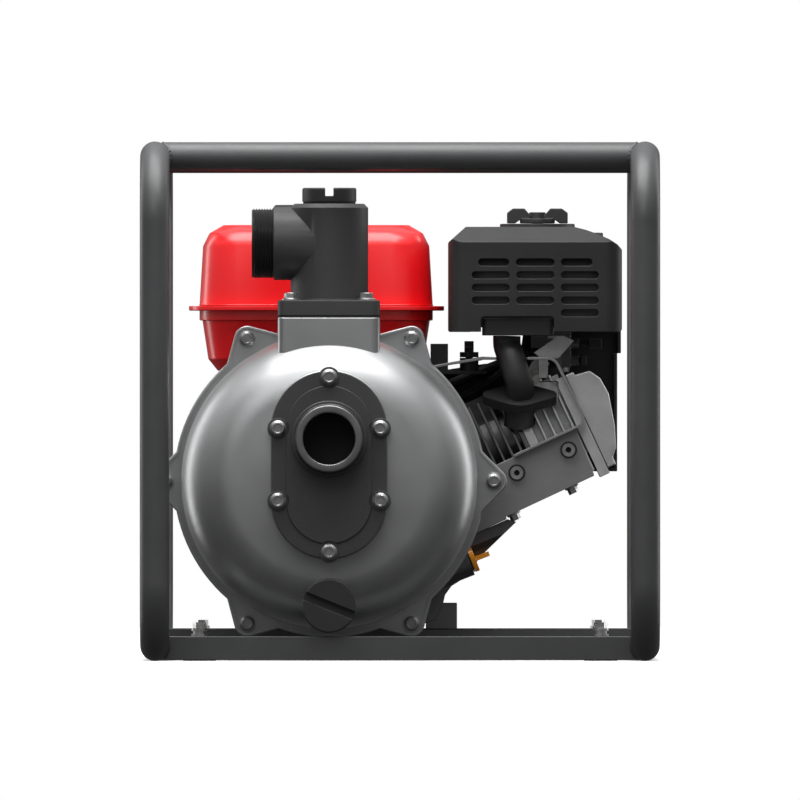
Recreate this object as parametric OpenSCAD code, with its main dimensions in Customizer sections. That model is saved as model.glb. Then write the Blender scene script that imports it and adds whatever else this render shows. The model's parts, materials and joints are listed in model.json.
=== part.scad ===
// Portable fire pump: a small petrol engine drives a self-priming centrifugal
// pump, and both stand inside a welded tube carry frame.
// Axes: +X to the muffler side, +Y away from the suction port, +Z up.
// Origin: on the ground, below the middle of the frame.

/* [Frame] */
// Overall width across the two side hoops
frame_w = 440; // [430:2:450]
// Overall depth of the side hoops
frame_d = 490; // [484:2:520]
// Overall height of the side hoops
frame_h = 440; // [436:2:470]
// Outside diameter of the hoop tube
tube_d = 25; // [24:1:27]
// Wall thickness of all frame tubes
tube_wall = 2; // [1.5:0.5:3]
// Centre-line radius of the hoop bends
bend_r = 55; // [45:5:70]
// Outside diameter of the two cross tubes
cross_d = 24; // [20:1:24]
// Distance of each cross tube from the middle of the frame
cross_y = 165; // [155:1:170]
// Height of the base rails' flange above the ground
rail_top = 20.7; // [20:0.1:22]
// Height of the engine bearers' top above the ground
bearer_top = 26; // [25:0.5:28]

/* [Pump] */
// Sideways position of the pump and crankshaft axis
crank_x = -60; // [-62:1:-58]
// Height of the crankshaft axis
crank_z = 122; // [120:1:124]
// Height of the round casing's centre
casing_z = 152; // [150:1:153]
// Outside radius of the casing bowl
bowl_r = 126; // [124:1:128]
// Radius of the casing's clamping ring
ring_r = 132.5; // [131:0.5:134]
// Wall thickness of the casing
casing_wall = 6; // [5:0.5:7]
// Radius of the circle through the ring bolts
ring_bolt_r = 139.8; // [138:0.1:141]
// Half width of the oblong suction cover
cover_half_w = 48.8; // [48:0.1:50]
// Height of the suction port's centre
port_z = 188.3; // [186:0.1:190]
// Outside diameter of the two 2 inch hose threads
thread_d = 59.6; // [58:0.1:60]
// Bore of the suction port
port_bore = 44; // [40:1:46]
// Bore of the outlet
outlet_bore = 46; // [42:1:48]
// Diameter of the outlet tower
tower_d = 66; // [64:1:68]
// Height of the outlet branch's centre
branch_z = 353.8; // [352:0.1:355]
// Diameter of the priming and drain plug heads
plug_d = 46; // [44:1:47]
// Radius of the impeller
impeller_r = 60; // [54:1:62]
// Number of impeller vanes
vanes = 5; // [3:1:7]

/* [Engine] */
// Tilt of the cylinder above the horizontal
cylinder_tilt = 25; // [24.5:0.1:25.5]
// Cylinder bore
cylinder_bore = 62; // [60:1:64]
// Distance between cooling fins
fin_pitch = 8.4; // [8:0.1:8.8]
// Thickness of a cooling fin
fin_t = 2.2; // [1.8:0.1:2.6]
// Half the piston stroke
crank_throw = 27; // [24:1:28]
// Radius of the flywheel
flywheel_r = 86; // [80:1:88]
// Number of fan blades on the flywheel
fan_blades = 16; // [10:1:20]
// Radius of the recoil starter's reel
reel_r = 60; // [56:1:62]
// Rise of the starter rope above the horizontal
rope_rise = 20; // [18:1:22]

/* [Hidden] */
$fn = 72;

// Small overlap that keeps cuts clean
eps = 0.5;
// Clearance all round a bolt in its hole
bolt_gap = 0.3;

// Frame
hoop_x = frame_w / 2 - tube_d / 2;
hoop_y = frame_d / 2 - tube_d / 2;
hoop_top = frame_h - tube_d / 2;
foot_bolt_x = 170;
rail_y = 178;
rail_leg = 38;
rail_t = 2.7;
foot_y = 158;
bearer_w = 34;
bearer_ys = [9, 70];
engine_foot_xs = [-126.5, 36];
foot_seat = 38;

// Pump, along the crankshaft
ring_front = -75;
ring_back = -66;
bracket_front = -65;
bracket_rim = -55;
engine_face = -20;
bowl_front = -176;
bowl_edge_r = 46;
seat_back = -160;
cover_back = -178;
cover_front = -190;
port_front = -225;
ear_r = 11;
ear_web = 13.6;
ear_root_r = ring_r - 4;
arc_low = 135.5;
arc_high = 196.9;
cover_bolt_r = 43.4;
duct_half_w = 36;
volute_front = -104;
volute_r = 86;
bracket_pcd = 140;
flap_z = 219.5;
// The six bolts of the suction cover, as X and Z from the middle
cover_bolts = [[0, arc_high + cover_bolt_r], [0, arc_low - cover_bolt_r],
    [-cover_bolt_r, arc_high], [cover_bolt_r, arc_high],
    [-cover_bolt_r, arc_low], [cover_bolt_r, arc_low]];

// Outlet and plugs
boss_x = -60.35;
boss_w = 86.7;
boss_depth = 82;
tower_y = -112;
boss_top = 291.4;
flange_bottom = 292.4;
flange_top = 305.6;
tower_top = 387.6;
tower_bolt = [32, 30];
plug_thread_d = 38;
plug_thread_h = 13;
plug_seal_t = 1.5;
plug_h = 12;
drain_z = 46.8;
drain_face = -174;
drain_slot_angle = -22;
drain_boss_d = 44.4;
branch_d = 62;

// Engine
block_front = -5;
block_back = 85;
bore_y = 35;
block_s = 180;
head_s = 232;
block_half_y = 50;
case_wall = 7;
journal_d = 25;
bearing_d = 52;
bearing_w = 15;
cap_x = 62.5;
cap_z = 85;
cap_tilt = 21.5;
filler_y = -12;
flywheel_y = 100;
housing_front = 88;
housing_back = 150;
reel_y = 173;
rope_r = 54;
recoil_back = 193;
tank_x = -71.5;
tank_y = 70;
shield_front = -45;
filter_x = 117.5;
filter_y = 103;
filter_r = 32;
lever_x = 59;
lever_y = 40;
carb_x = 129;
carb_y = 72;
intake_x = 122;
intake_z = 246;
choke_z = 269;
plug_y = 14;
plug_t = 29;
switch_x = 10;
switch_z = 220;
fuel_valve_z = 255;

// Shroud's front screws, as X and Z
shroud_screws = [[99.5, 159], [143.5, 178.5]];
// Shroud's lower screws along the cylinder
lower_screws = [143, 197.4];
// Recoil cover's screws round the crankshaft
recoil_screws = [45:90:315];
recoil_pcd = 182;
rope_dir = [-cos(rope_rise), 0, sin(rope_rise)];
rope_start = [crank_x + rope_r * sin(rope_rise), reel_y, crank_z + rope_r * cos(rope_rise)];
rope_free = 96;
// Guard's cooling slots, each row as its height and a list of [middle, length]
guard_slots = [[338.2, [[79.7, 26], [115.1, 32.5], [150.4, 26.5]]],
    [327.3, [[77.2, 32], [115.1, 32], [153.1, 32]]], [316.6, [[77.2, 32], [115.1, 32], [153.1, 32]]],
    [305.7, [[77.2, 32], [115.1, 32], [153.1, 32]]], [295, [[153.1, 32]]]];
// Crankcase from the front, as X and Z
crankcase_outline = [[20, 30], [30, 34], [36.8, 47.8], [38.5, 55], [44, 62.5], [52, 67.5],
    [61, 72.5], [67, 86], [99, 117], [92, 119.2], [43, 97.3], [37, 103.2], [-8.6, 201],
    [-100, 201], [-128, 178], [-134, 150], [-134, 60], [-128, 36], [-116, 30]];

// ---------- shared shapes ----------

// Points along an arc
function arc(c, r, a0, a1, n = 8) =
    [for (i = [0:n]) c + r * [cos(a0 + (a1 - a0) * i / n), sin(a0 + (a1 - a0) * i / n)]];

// Outline of an open path made t thick
function band(p, t) = let (n = len(p) - 1,
    side = [for (i = [0:n]) let (d = p[min(i + 1, n)] - p[max(i - 1, 0)]) [-d[1], d[0]] / norm(d) * t / 2])
    concat([for (i = [0:n]) p[i] + side[i]], [for (i = [n:-1:0]) p[i] - side[i]]);

// Rectangle with round corners, centred
function rounded(w, h, r) = concat(
    arc([w / 2 - r, h / 2 - r], r, 0, 90), arc([r - w / 2, h / 2 - r], r, 90, 180),
    arc([r - w / 2, r - h / 2], r, 180, 270), arc([w / 2 - r, r - h / 2], r, 270, 360));

// Upright oblong with half-round ends about two centres
function oblong(half_w, low, high) = concat(
    arc([0, high], half_w, 0, 180, 24), arc([0, low], half_w, 180, 360, 24));

// Slot lying along x with half-round ends
function slot(len, h) = concat(
    arc([(len - h) / 2, 0], h / 2, -90, 90, 8), arc([(h - len) / 2, 0], h / 2, 90, 270, 8));

// Outline in the XZ plane made solid from y0 to y1
module slab(y0, y1) translate([0, y1, 0]) rotate([90, 0, 0]) linear_extrude(y1 - y0) children();

// Outline in the YZ plane made solid from x0 to x1
module panel(x0, x1) translate([x0, 0, 0]) rotate([90, 0, 90]) linear_extrude(x1 - x0) children();

// Outline in the XY plane made solid from z0 to z1
module plate(z0, z1) translate([0, 0, z0]) linear_extrude(z1 - z0) children();

module rod_x(d, x0, x1, y, z) translate([x0, y, z]) rotate([0, 90, 0]) cylinder(d = d, h = x1 - x0);
module rod_y(d, y0, y1, x, z) translate([x, y1, z]) rotate([90, 0, 0]) cylinder(d = d, h = y1 - y0);
module rod_z(d, z0, z1, x, y) translate([x, y, z0]) cylinder(d = d, h = z1 - z0);

// Six-sided prism standing on z = 0, by its width across flats
module hex(across, h) cylinder(d = across / cos(30), h = h, $fn = 6);

// Flange bolt: head above z = 0, shank below
module flange_bolt(d, flange_d, across, shank) {
    translate([0, 0, -shank]) cylinder(d = d, h = shank + eps);
    cylinder(d = flange_d, h = 1.6);
    translate([0, 0, 1.6]) hex(across, 4.8);
}

// Turns a shape's +Z to -Y, at the given place
module facing_front(x, y, z) translate([x, y, z]) rotate([90, 0, 0]) children();

// Turns a shape's +Z to +Y, at the given place
module facing_back(x, y, z) translate([x, y, z]) rotate([-90, 0, 0]) children();

// Local x runs along the cylinder away from the crankshaft, local z across it
module along_cylinder() translate([crank_x, 0, crank_z]) rotate([0, -cylinder_tilt, 0]) children();

// Round tube swept along a route of 3D points
module swept(route, d, sides = 10) {
    last = len(route) - 1;
    function unit(v) = v / norm(v);
    function tangent(i) = unit(route[min(i + 1, last)] - route[max(i - 1, 0)]);
    function side(t) = unit(cross(t, abs(t[1]) < 0.9 ? [0, 1, 0] : [1, 0, 0]));
    rings = [for (i = [0:last]) let (t = tangent(i), u = side(t), v = cross(t, u))
        for (k = [0:sides - 1]) route[i] + d / 2 * (cos(360 * k / sides) * u + sin(360 * k / sides) * v)];
    walls = [for (i = [0:last - 1], k = [0:sides - 1]) let (n = (k + 1) % sides)
        [i * sides + k, (i + 1) * sides + k, (i + 1) * sides + n, i * sides + n]];
    caps = [[for (k = [0:sides - 1]) k], [for (k = [sides - 1:-1:0]) last * sides + k]];
    polyhedron(points = rings, faces = concat(walls, caps), convexity = 6);
}

// Smooth curve through the points of a route
function smooth(p, steps = 5) = let (n = len(p) - 1) concat(
    [for (i = [0:n - 1], k = [0:steps - 1]) let (
        a = p[max(i - 1, 0)], b = p[i], c = p[i + 1], e = p[min(i + 2, n)], t = k / steps)
        0.5 * (2 * b + (c - a) * t + (2 * a - 5 * b + 4 * c - e) * t * t
            + (3 * b - 3 * c + e - a) * t * t * t)], [p[n]]);

// ---------- carry frame ----------

module tube_ring() difference() {
    circle(d = tube_d);
    circle(d = tube_d - 2 * tube_wall);
}

// One rounded rectangular loop of tube in the YZ plane
module hoop(x) translate([x, 0, 0]) {
    run_y = hoop_y - bend_r;
    low = tube_d / 2 + bend_r;
    high = hoop_top - bend_r;
    for (side = [-1, 1]) {
        translate([0, side * hoop_y, low]) linear_extrude(high - low) tube_ring();
        for (top = [0, 1])
            translate([0, side * run_y, top ? high : low])
                rotate([0, 0, side * 90]) rotate([90, 0, 0])
                    rotate_extrude(angle = top ? 90 : -90) translate([bend_r, 0]) tube_ring();
    }
    for (z = [tube_d / 2, hoop_top])
        translate([0, run_y, z]) rotate([90, 0, 0]) linear_extrude(2 * run_y) tube_ring();
}

// Room taken by the straight lower and upper runs of both hoops
module hoop_runs(z) for (side = [-1, 1])
    rod_y(tube_d, -hoop_y, hoop_y, side * hoop_x, z);

module frame_hoops() color([0.17, 0.18, 0.19]) for (side = [-1, 1]) hoop(side * hoop_x);

module cross_tubes() color([0.17, 0.18, 0.19]) difference() {
    for (side = [-1, 1]) difference() {
        rod_x(cross_d, -hoop_x, hoop_x, side * cross_y, hoop_top);
        rod_x(cross_d - 2 * tube_wall, -hoop_x, hoop_x, side * cross_y, hoop_top);
    }
    hoop_runs(hoop_top);
}

// Angle rail below the front or rear, and the bearers below the engine's feet
module base_rails() color([0.17, 0.18, 0.19]) difference() {
    union() {
        for (side = [-1, 1]) difference() {
            translate([-hoop_x, side > 0 ? rail_y - rail_leg : -rail_y, 0.6])
                cube([2 * hoop_x, rail_leg, rail_top - 0.6]);
            translate([-hoop_x - eps, side > 0 ? rail_y - rail_leg - eps : -rail_y + rail_t, 0])
                cube([2 * hoop_x + 2 * eps, rail_leg - rail_t + eps, rail_top - rail_t]);
        }
        for (y = bearer_ys) difference() {
            translate([-hoop_x, y - bearer_w / 2, 19]) cube([2 * hoop_x, bearer_w, bearer_top - 19]);
            translate([-hoop_x - eps, y - bearer_w / 2 + 3, 18])
                cube([2 * hoop_x + 2 * eps, bearer_w - 6, bearer_top - 18 - 3]);
        }
    }
    hoop_runs(tube_d / 2);
    for (x = [-1, 1], y = [-1, 1]) rod_z(6 + 2 * bolt_gap, 10, 30, x * foot_bolt_x, y * foot_y);
    for (x = engine_foot_xs, y = bearer_ys) rod_z(8 + 2 * bolt_gap, 10, 30, x, y);
}

// Rubber buffers that stand on the ground inside the rails
module rubber_feet() color([0.07, 0.07, 0.07]) for (x = [-1, 1], y = [-1, 1])
    translate([x * foot_bolt_x, y * foot_y, 0]) difference() {
        rotate_extrude() polygon([[0, 0], [14, 0], [15, 1.5], [12, 10], [12, 18], [0, 18]]);
        translate([0, 0, 5]) cylinder(d = 6 + 2 * bolt_gap, h = 20);
    }

// Bolts of the rubber feet with washer and spacer, and bolts of the engine's feet
module frame_bolts() color([0.72, 0.72, 0.70]) {
    for (x = [-1, 1], y = [-1, 1]) translate([x * foot_bolt_x, y * foot_y, 0]) {
        translate([0, 0, 6]) cylinder(d = 6, h = 24);
        translate([0, 0, rail_top]) cylinder(d = 14, h = 2.1);
        translate([0, 0, rail_top + 2.1]) cylinder(d = 10.5, h = 2.7);
        translate([0, 0, rail_top + 4.8]) cylinder(d = 13.7, h = 2.1);
        translate([0, 0, rail_top + 6.9]) hex(10, 5);
    }
    for (x = engine_foot_xs, y = bearer_ys) translate([x, y, 0]) {
        translate([0, 0, 14]) cylinder(d = 8, h = 26);
        translate([0, 0, foot_seat]) difference() {
            cylinder(d = 13, h = 8);
            translate([0, 0, 3]) hex(6, 6);
        }
        translate([0, 0, 16.5]) hex(13, bearer_top - 3 - 16.5);
    }
}

// ---------- pump ----------

// Bolt lugs around the casing's clamping ring
module ring_outline() {
    circle(r = ring_r);
    for (a = [0:60:300]) rotate(a) polygon(concat(
        [ear_root_r * [cos(ear_web), -sin(ear_web)]],
        arc([ring_bolt_r, 0], ear_r, -45, 45, 8),
        [ear_root_r * [cos(ear_web), sin(ear_web)], [ring_r - 20, 0]]));
}

module at_ring_bolts() for (a = [0:60:300])
    translate([crank_x + ring_bolt_r * cos(a), 0, casing_z + ring_bolt_r * sin(a)]) children();

// Domed bowl, grown or shrunk by e, turned about the casing's own axis
module bowl(e, back) facing_front(crank_x, 0, casing_z) rotate_extrude() polygon(concat(
    [[0, back], [bowl_r + e, back], [bowl_r + e, 84], [bowl_r - 2 + e, -bowl_front - bowl_edge_r]],
    arc([bowl_r - 2 - bowl_edge_r, -bowl_front - bowl_edge_r], bowl_edge_r + e, 0, 90, 12),
    [[0, -bowl_front + e]]));

module cover_oblong(half_w) translate([crank_x, 0]) polygon(oblong(half_w, arc_low, arc_high));

module boss_outline() translate([boss_x, tower_y]) polygon(rounded(boss_w, boss_depth, 8));

module at_tower_bolts() for (x = [-1, 1], y = [-1, 1])
    translate([boss_x + x * tower_bolt[0], tower_y + y * tower_bolt[1], 0]) children();

module pump_casing() color([0.78, 0.79, 0.80]) difference() {
    union() {
        bowl(0, -ring_back);
        translate([crank_x, 0, casing_z]) slab(ring_front, ring_back) ring_outline();
        slab(bowl_front, seat_back) cover_oblong(cover_half_w + 1);
        plate(215, boss_top) boss_outline();
        rod_y(drain_boss_d, drain_face, -120, crank_x, drain_z);
    }
    rod_y(plug_d + 1.6, bowl_front - 4, drain_face, crank_x, drain_z);
    difference() {
        bowl(-casing_wall, -ring_back - eps);
        slab(bowl_front, seat_back) cover_oblong(cover_half_w + 1);
        rod_y(drain_boss_d, bowl_front, -140, crank_x, drain_z);
    }
    slab(bowl_front - eps, seat_back + eps) cover_oblong(duct_half_w);
    rod_z(outlet_bore, 240, boss_top + eps, crank_x, tower_y);
    rod_y(plug_thread_d + 0.4, drain_face - eps, -130, crank_x, drain_z);
    for (p = cover_bolts) rod_y(6 + 2 * bolt_gap, bowl_front - eps, -163, crank_x + p[0], p[1]);
    at_ring_bolts() rod_y(6 + 2 * bolt_gap, ring_front - eps, ring_back + eps, 0, 0);
    at_tower_bolts() rod_z(8 + 2 * bolt_gap, 273, boss_top + eps, 0, 0);
}

// Seal between casing and bracket, gasket of the suction cover, gasket of the outlet
module pump_gaskets() color([0.12, 0.12, 0.12]) {
    difference() {
        rod_y(2 * ring_r - 5, ring_back, bracket_front, crank_x, casing_z);
        rod_y(2 * bowl_r - 8, ring_back - eps, bracket_front + eps, crank_x, casing_z);
    }
    difference() {
        slab(cover_back, bowl_front) cover_oblong(cover_half_w - 0.5);
        slab(cover_back - eps, bowl_front + eps) cover_oblong(duct_half_w + 0.5);
        for (p = cover_bolts) rod_y(7, cover_back - eps, bowl_front + eps, crank_x + p[0], p[1]);
    }
    difference() {
        plate(boss_top, flange_bottom) boss_outline();
        rod_z(outlet_bore, boss_top - eps, flange_bottom + eps, crank_x, tower_y);
        at_tower_bolts() rod_z(8.6, boss_top - eps, flange_bottom + eps, 0, 0);
    }
}

module casing_bolts() color([0.72, 0.72, 0.70]) at_ring_bolts()
    facing_front(0, ring_front, 0) flange_bolt(6, 13, 8.5, 18);

module at_bracket_screws() for (a = [45:90:315])
    translate([crank_x + bracket_pcd / 2 * cos(a), 0, crank_z + bracket_pcd / 2 * sin(a)]) children();

// Bearing bracket that carries the pump on the engine's shaft face
module pump_bracket() color([0.70, 0.71, 0.72]) difference() {
    union() {
        translate([crank_x, 0, casing_z]) slab(bracket_front, bracket_rim) ring_outline();
        rod_y(132, bracket_rim - 1, engine_face, crank_x, crank_z);
        rod_y(156, engine_face - 9, engine_face, crank_x, crank_z);
        for (a = [20:40:340]) translate([crank_x, 0, crank_z]) rotate([0, -a, 0])
            translate([60, bracket_rim - 1, -2.5]) cube([20, 30, 5]);
    }
    rod_y(112, bracket_rim, engine_face + eps, crank_x, crank_z);
    rod_y(40, bracket_front - eps, bracket_rim + eps, crank_x, crank_z);
    translate([crank_x - 90, bracket_rim + 3, crank_z - 22]) cube([180, 20, 44]);
    at_ring_bolts() rod_y(6 + 2 * bolt_gap, bracket_front - eps, bracket_rim + eps, 0, 0);
    at_bracket_screws() {
        rod_y(8 + 2 * bolt_gap, engine_face - 10, engine_face + eps, 0, 0);
        rod_y(16, bracket_rim + 3, engine_face - 9, 0, 0);
    }
}

// Inner volute round the impeller, with the duct from the suction opening to its eye
module volute() color([0.62, 0.63, 0.64]) difference() {
    union() {
        rod_y(2 * volute_r, volute_front, bracket_front, crank_x, crank_z);
        slab(seat_back, volute_front + 3) cover_oblong(duct_half_w + 5);
        rod_z(36, crank_z, 212, crank_x + 52, -84.5);
    }
    slab(seat_back - eps, volute_front - 3) cover_oblong(duct_half_w);
    rod_y(40, volute_front - 4, volute_front + 8, crank_x, crank_z);
    rod_y(2 * impeller_r + 20, volute_front + 5, bracket_front + eps, crank_x, crank_z);
    rod_z(28, crank_z + 20, 212 + eps, crank_x + 52, -84.5);
}

module impeller() color([0.72, 0.55, 0.30]) difference() {
    union() {
        rod_y(2 * impeller_r, -82, -77, crank_x, crank_z);
        rod_y(34, -96, -70, crank_x, crank_z);
        for (k = [0:vanes - 1]) translate([crank_x, 0, crank_z]) rotate([0, 360 * k / vanes, 0])
            slab(-94, -80) polygon(concat(
                [for (i = [0:8]) (13 + i * 5.5) * [cos(i * 13), sin(i * 13)]],
                [for (i = [8:-1:0]) (13 + i * 5.5) * [cos(i * 13 + 4), sin(i * 13 + 4)]]));
    }
    rod_y(20.2, -90, -69, crank_x, crank_z);
}

module mechanical_seal() color([0.30, 0.30, 0.32]) difference() {
    union() {
        rod_y(39.6, -65, -57, crank_x, crank_z);
        rod_y(30, -68.5, -64, crank_x, crank_z);
    }
    rod_y(21, -70, -56, crank_x, crank_z);
}

module suction_cover() color([0.24, 0.24, 0.24]) difference() {
    union() {
        slab(cover_front, cover_back) cover_oblong(cover_half_w);
        slab(cover_front - 2, cover_front + 1) cover_oblong(36.3);
        for (p = cover_bolts) rod_y(17, cover_front, cover_back, crank_x + p[0], p[1]);
        rod_y(64.5, cover_front - 8, cover_front, crank_x, port_z);
        rod_y(thread_d, port_front, cover_front, crank_x, port_z);
        for (x = [-9, 9]) translate([crank_x + x - 2.5, cover_back - 1, flap_z - 3.5]) cube([5, 8, 8]);
    }
    rod_y(port_bore, port_front - eps, cover_back + eps, crank_x, port_z);
    rod_x(4.16, crank_x - 13, crank_x + 13, cover_back + 4, flap_z);
    for (p = cover_bolts) rod_y(6 + 2 * bolt_gap, cover_front - eps, cover_back + eps, crank_x + p[0], p[1]);
}

module suction_cover_bolts() color([0.72, 0.72, 0.70]) for (p = cover_bolts)
    facing_front(crank_x + p[0], cover_front, p[1]) flange_bolt(6, 14, 9, 24);

// Hinged rubber flap behind the suction port
module check_valve_flap() color([0.10, 0.10, 0.10]) {
    rod_y(51, cover_back + 0.4, cover_back + 5.4, crank_x, port_z);
    translate([crank_x - 6, cover_back + 1.4, port_z + 20]) cube([12, 4, flap_z - port_z - 20]);
    rod_x(6, crank_x - 6, crank_x + 6, cover_back + 4, flap_z);
    rod_x(4, crank_x - 12, crank_x + 12, cover_back + 4, flap_z);
}

module outlet_tower() color([0.20, 0.20, 0.21]) difference() {
    union() {
        plate(flange_bottom, flange_top) boss_outline();
        rod_z(tower_d, flange_bottom, tower_top - 3.5, crank_x, tower_y);
        translate([crank_x, tower_y, tower_top - 3.5])
            cylinder(d1 = tower_d, d2 = tower_d - 7, h = 3.5);
        rod_x(branch_d, -107.5, crank_x, tower_y, branch_z);
        rod_x(thread_d, -125.8, -107, tower_y, branch_z);
    }
    rod_z(outlet_bore + 6, flange_bottom - eps, tower_top - 15, crank_x, tower_y);
    rod_z(plug_thread_d + 0.4, tower_top - 16, tower_top + eps, crank_x, tower_y);
    rod_x(outlet_bore, -126.5, crank_x, tower_y, branch_z);
    at_tower_bolts() rod_z(8 + 2 * bolt_gap, flange_bottom - eps, flange_top + eps, 0, 0);
}

module outlet_bolts() color([0.72, 0.72, 0.70]) at_tower_bolts() translate([0, 0, flange_top])
    flange_bolt(8, 15, 10, 30);

// Slotted screw plug, head standing on z = 0
module slotted_plug(slot_angle) difference() {
    union() {
        translate([0, 0, -plug_thread_h - plug_seal_t])
            cylinder(d = plug_thread_d, h = plug_thread_h + plug_seal_t + eps);
        cylinder(d = plug_d, h = plug_h - 1);
        translate([0, 0, plug_h - 1]) cylinder(d1 = plug_d, d2 = plug_d - 2, h = 1);
    }
    rotate(slot_angle) translate([-plug_d, -3.5, plug_h - 7]) cube([2 * plug_d, 7, 8]);
    translate([0, 0, -plug_thread_h - plug_seal_t - eps])
        cylinder(d = plug_thread_d - 10, h = plug_thread_h);
}

module plug_seal() translate([0, 0, -plug_seal_t]) difference() {
    cylinder(d = plug_d - 1.5, h = plug_seal_t);
    translate([0, 0, -eps]) cylinder(d = plug_thread_d + 0.8, h = plug_seal_t + 2 * eps);
}

module at_priming_port() translate([crank_x, tower_y, tower_top + plug_seal_t]) children();
module at_drain_port() facing_front(crank_x, drain_face - plug_seal_t, drain_z) children();

module priming_plug() color([0.16, 0.16, 0.17]) at_priming_port() slotted_plug(90);
module priming_plug_seal() color([0.05, 0.05, 0.05]) at_priming_port() plug_seal();
module drain_plug() color([0.16, 0.16, 0.17]) at_drain_port() slotted_plug(drain_slot_angle);
module drain_plug_seal() color([0.05, 0.05, 0.05]) at_drain_port() plug_seal();

// ---------- engine ----------

// Bosses that carry the shroud: 0 on the block, 1 on the head
module front_boss(i) rod_y(12, -19, 8, shroud_screws[i][0], shroud_screws[i][1]);
module front_boss_hole(i) rod_y(6 + 2 * bolt_gap, -20, -2, shroud_screws[i][0], shroud_screws[i][1]);
module lower_boss(i) translate([lower_screws[i], 10, -62]) cylinder(d = 12, h = 26);
module lower_boss_hole(i) translate([lower_screws[i], 10, -63]) cylinder(d = 6 + 2 * bolt_gap, h = 14);

module fins(first, last, low, high) for (s = [first:fin_pitch:last])
    translate([s, bore_y - block_half_y, low]) cube([fin_t, 2 * block_half_y, high - low]);

module filler_neck(d, s0, s1) translate([cap_x, filler_y, cap_z]) rotate([0, 90 - cap_tilt, 0])
    translate([0, 0, s0]) cylinder(d = d, h = s1 - s0);

// Upright from the exhaust port, leaning forward
module along_exhaust() translate([102, -8, 205]) rotate([30, 0, 0]) children();
module exhaust_port(d, h0, h1) along_exhaust() translate([0, 0, h0]) cylinder(d = d, h = h1 - h0);

// Room for the exhaust flange in front of the fins
module exhaust_room() translate([69, -16, 219]) cube([66, 17.5, 17.8]);

// Rod along the spark plug's axis, from s0 to s1 along the cylinder
module plug_rod(d, s0, s1) along_cylinder() translate([s0, plug_y, plug_t]) rotate([0, 90, 0])
    cylinder(d = d, h = s1 - s0);

// Bore that takes the cylinder liner
module liner_bore() along_cylinder() translate([40, bore_y, 0]) rotate([0, 90, 0])
    cylinder(d = cylinder_bore + 6.4, h = block_s - 40);

// Crankcase and finned cylinder in one casting
module engine_block() color([0.33, 0.33, 0.34]) difference() {
    union() {
        slab(block_front, block_back) polygon(crankcase_outline);
        for (x = [-140, 22], y = bearer_ys) translate([x, y - 13, bearer_top]) cube([26.6, 26, 21.8]);
        along_cylinder() {
            translate([76, bore_y, 0]) rotate([0, 90, 0]) cylinder(d = cylinder_bore + 14, h = block_s - 76);
            fins(95, block_s - 6, -60, 34);
            translate([block_s - 4, bore_y - 46, -58]) cube([4, 92, 92]);
            lower_boss(0);
        }
        front_boss(0);
        filler_neck(25, -36, -3.5);
    }
    rod_y(112, block_front - eps, block_back - case_wall, crank_x, crank_z);
    translate([-106, block_front - eps, 37]) cube([124, block_back - block_front - case_wall + eps, 60]);
    rod_y(30, 70, block_back + eps, crank_x, crank_z);
    liner_bore();
    filler_neck(16.4, -31, 0);
    translate([10, -4, 66]) cube([24, 14, 14]);
    translate([31.8, -14, 68]) cube([3.4, 12, 8]);
    filler_neck(26, -3.5, 30);
    for (x = engine_foot_xs, y = bearer_ys) {
        rod_z(8 + 2 * bolt_gap, bearer_top - eps, 50, x, y);
        rod_z(14.6, foot_seat, 60, x, y);
    }
    exhaust_room();
    exhaust_port(27, -8, 17);
    front_boss_hole(0);
    along_cylinder() {
        lower_boss_hole(0);
        translate([lower_screws[0], 10, -75]) cylinder(d = 13, h = 11.2);
    }
}

// Cover on the pump side of the crankcase
module crankcase_cover() color([0.45, 0.45, 0.46]) difference() {
    union() {
        rod_y(160, engine_face, block_front, crank_x, crank_z);
        translate([-126, engine_face, 34]) cube([150, block_front - engine_face, 70]);
    }
    rod_y(journal_d + 3, engine_face - eps, block_front + eps, crank_x, crank_z);
    rod_y(bearing_d + 0.4, -14, block_front + eps, crank_x, crank_z);
    at_bracket_screws() rod_y(8 + 2 * bolt_gap, engine_face - eps, -7, 0, 0);
}

module cylinder_liner() color([0.60, 0.60, 0.60]) along_cylinder()
    translate([70, bore_y, 0]) rotate([0, 90, 0]) difference() {
        cylinder(d = cylinder_bore + 6, h = block_s - 70);
        translate([0, 0, -eps]) cylinder(d = cylinder_bore, h = block_s - 70 + 2 * eps);
    }

module crank_web(y0, y1) translate([crank_x, 0, crank_z]) slab(y0, y1) {
    polygon(concat(arc([0, 0], 44, 205, 335, 16), [[24, 8], [16, 38], [-16, 38], [-24, 8]]));
    translate([0, crank_throw]) circle(d = 38);
}

// Crankshaft with its flywheel nut
module crankshaft() color([0.55, 0.55, 0.57]) {
    rod_y(20, -88, engine_face, crank_x, crank_z);
    rod_y(journal_d, engine_face, 20, crank_x, crank_z);
    crank_web(18, 26);
    rod_y(30, 25, 45, crank_x, crank_z + crank_throw);
    crank_web(44, 52);
    rod_y(journal_d, 50, 90, crank_x, crank_z);
    rod_y(22, 89, 138, crank_x, crank_z);
    facing_back(crank_x, 129, crank_z) difference() {
        hex(24, 7);
        translate([0, 0, -eps]) cylinder(d = 22.4, h = 8);
    }
}

module ball_bearing(y0) difference() {
    rod_y(bearing_d, y0, y0 + bearing_w, crank_x, crank_z);
    rod_y(journal_d + 0.1, y0 - eps, y0 + bearing_w + eps, crank_x, crank_z);
}

module crank_bearings() color([0.75, 0.75, 0.76]) {
    ball_bearing(-14);
    ball_bearing(block_back - case_wall - bearing_w);
}

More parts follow.
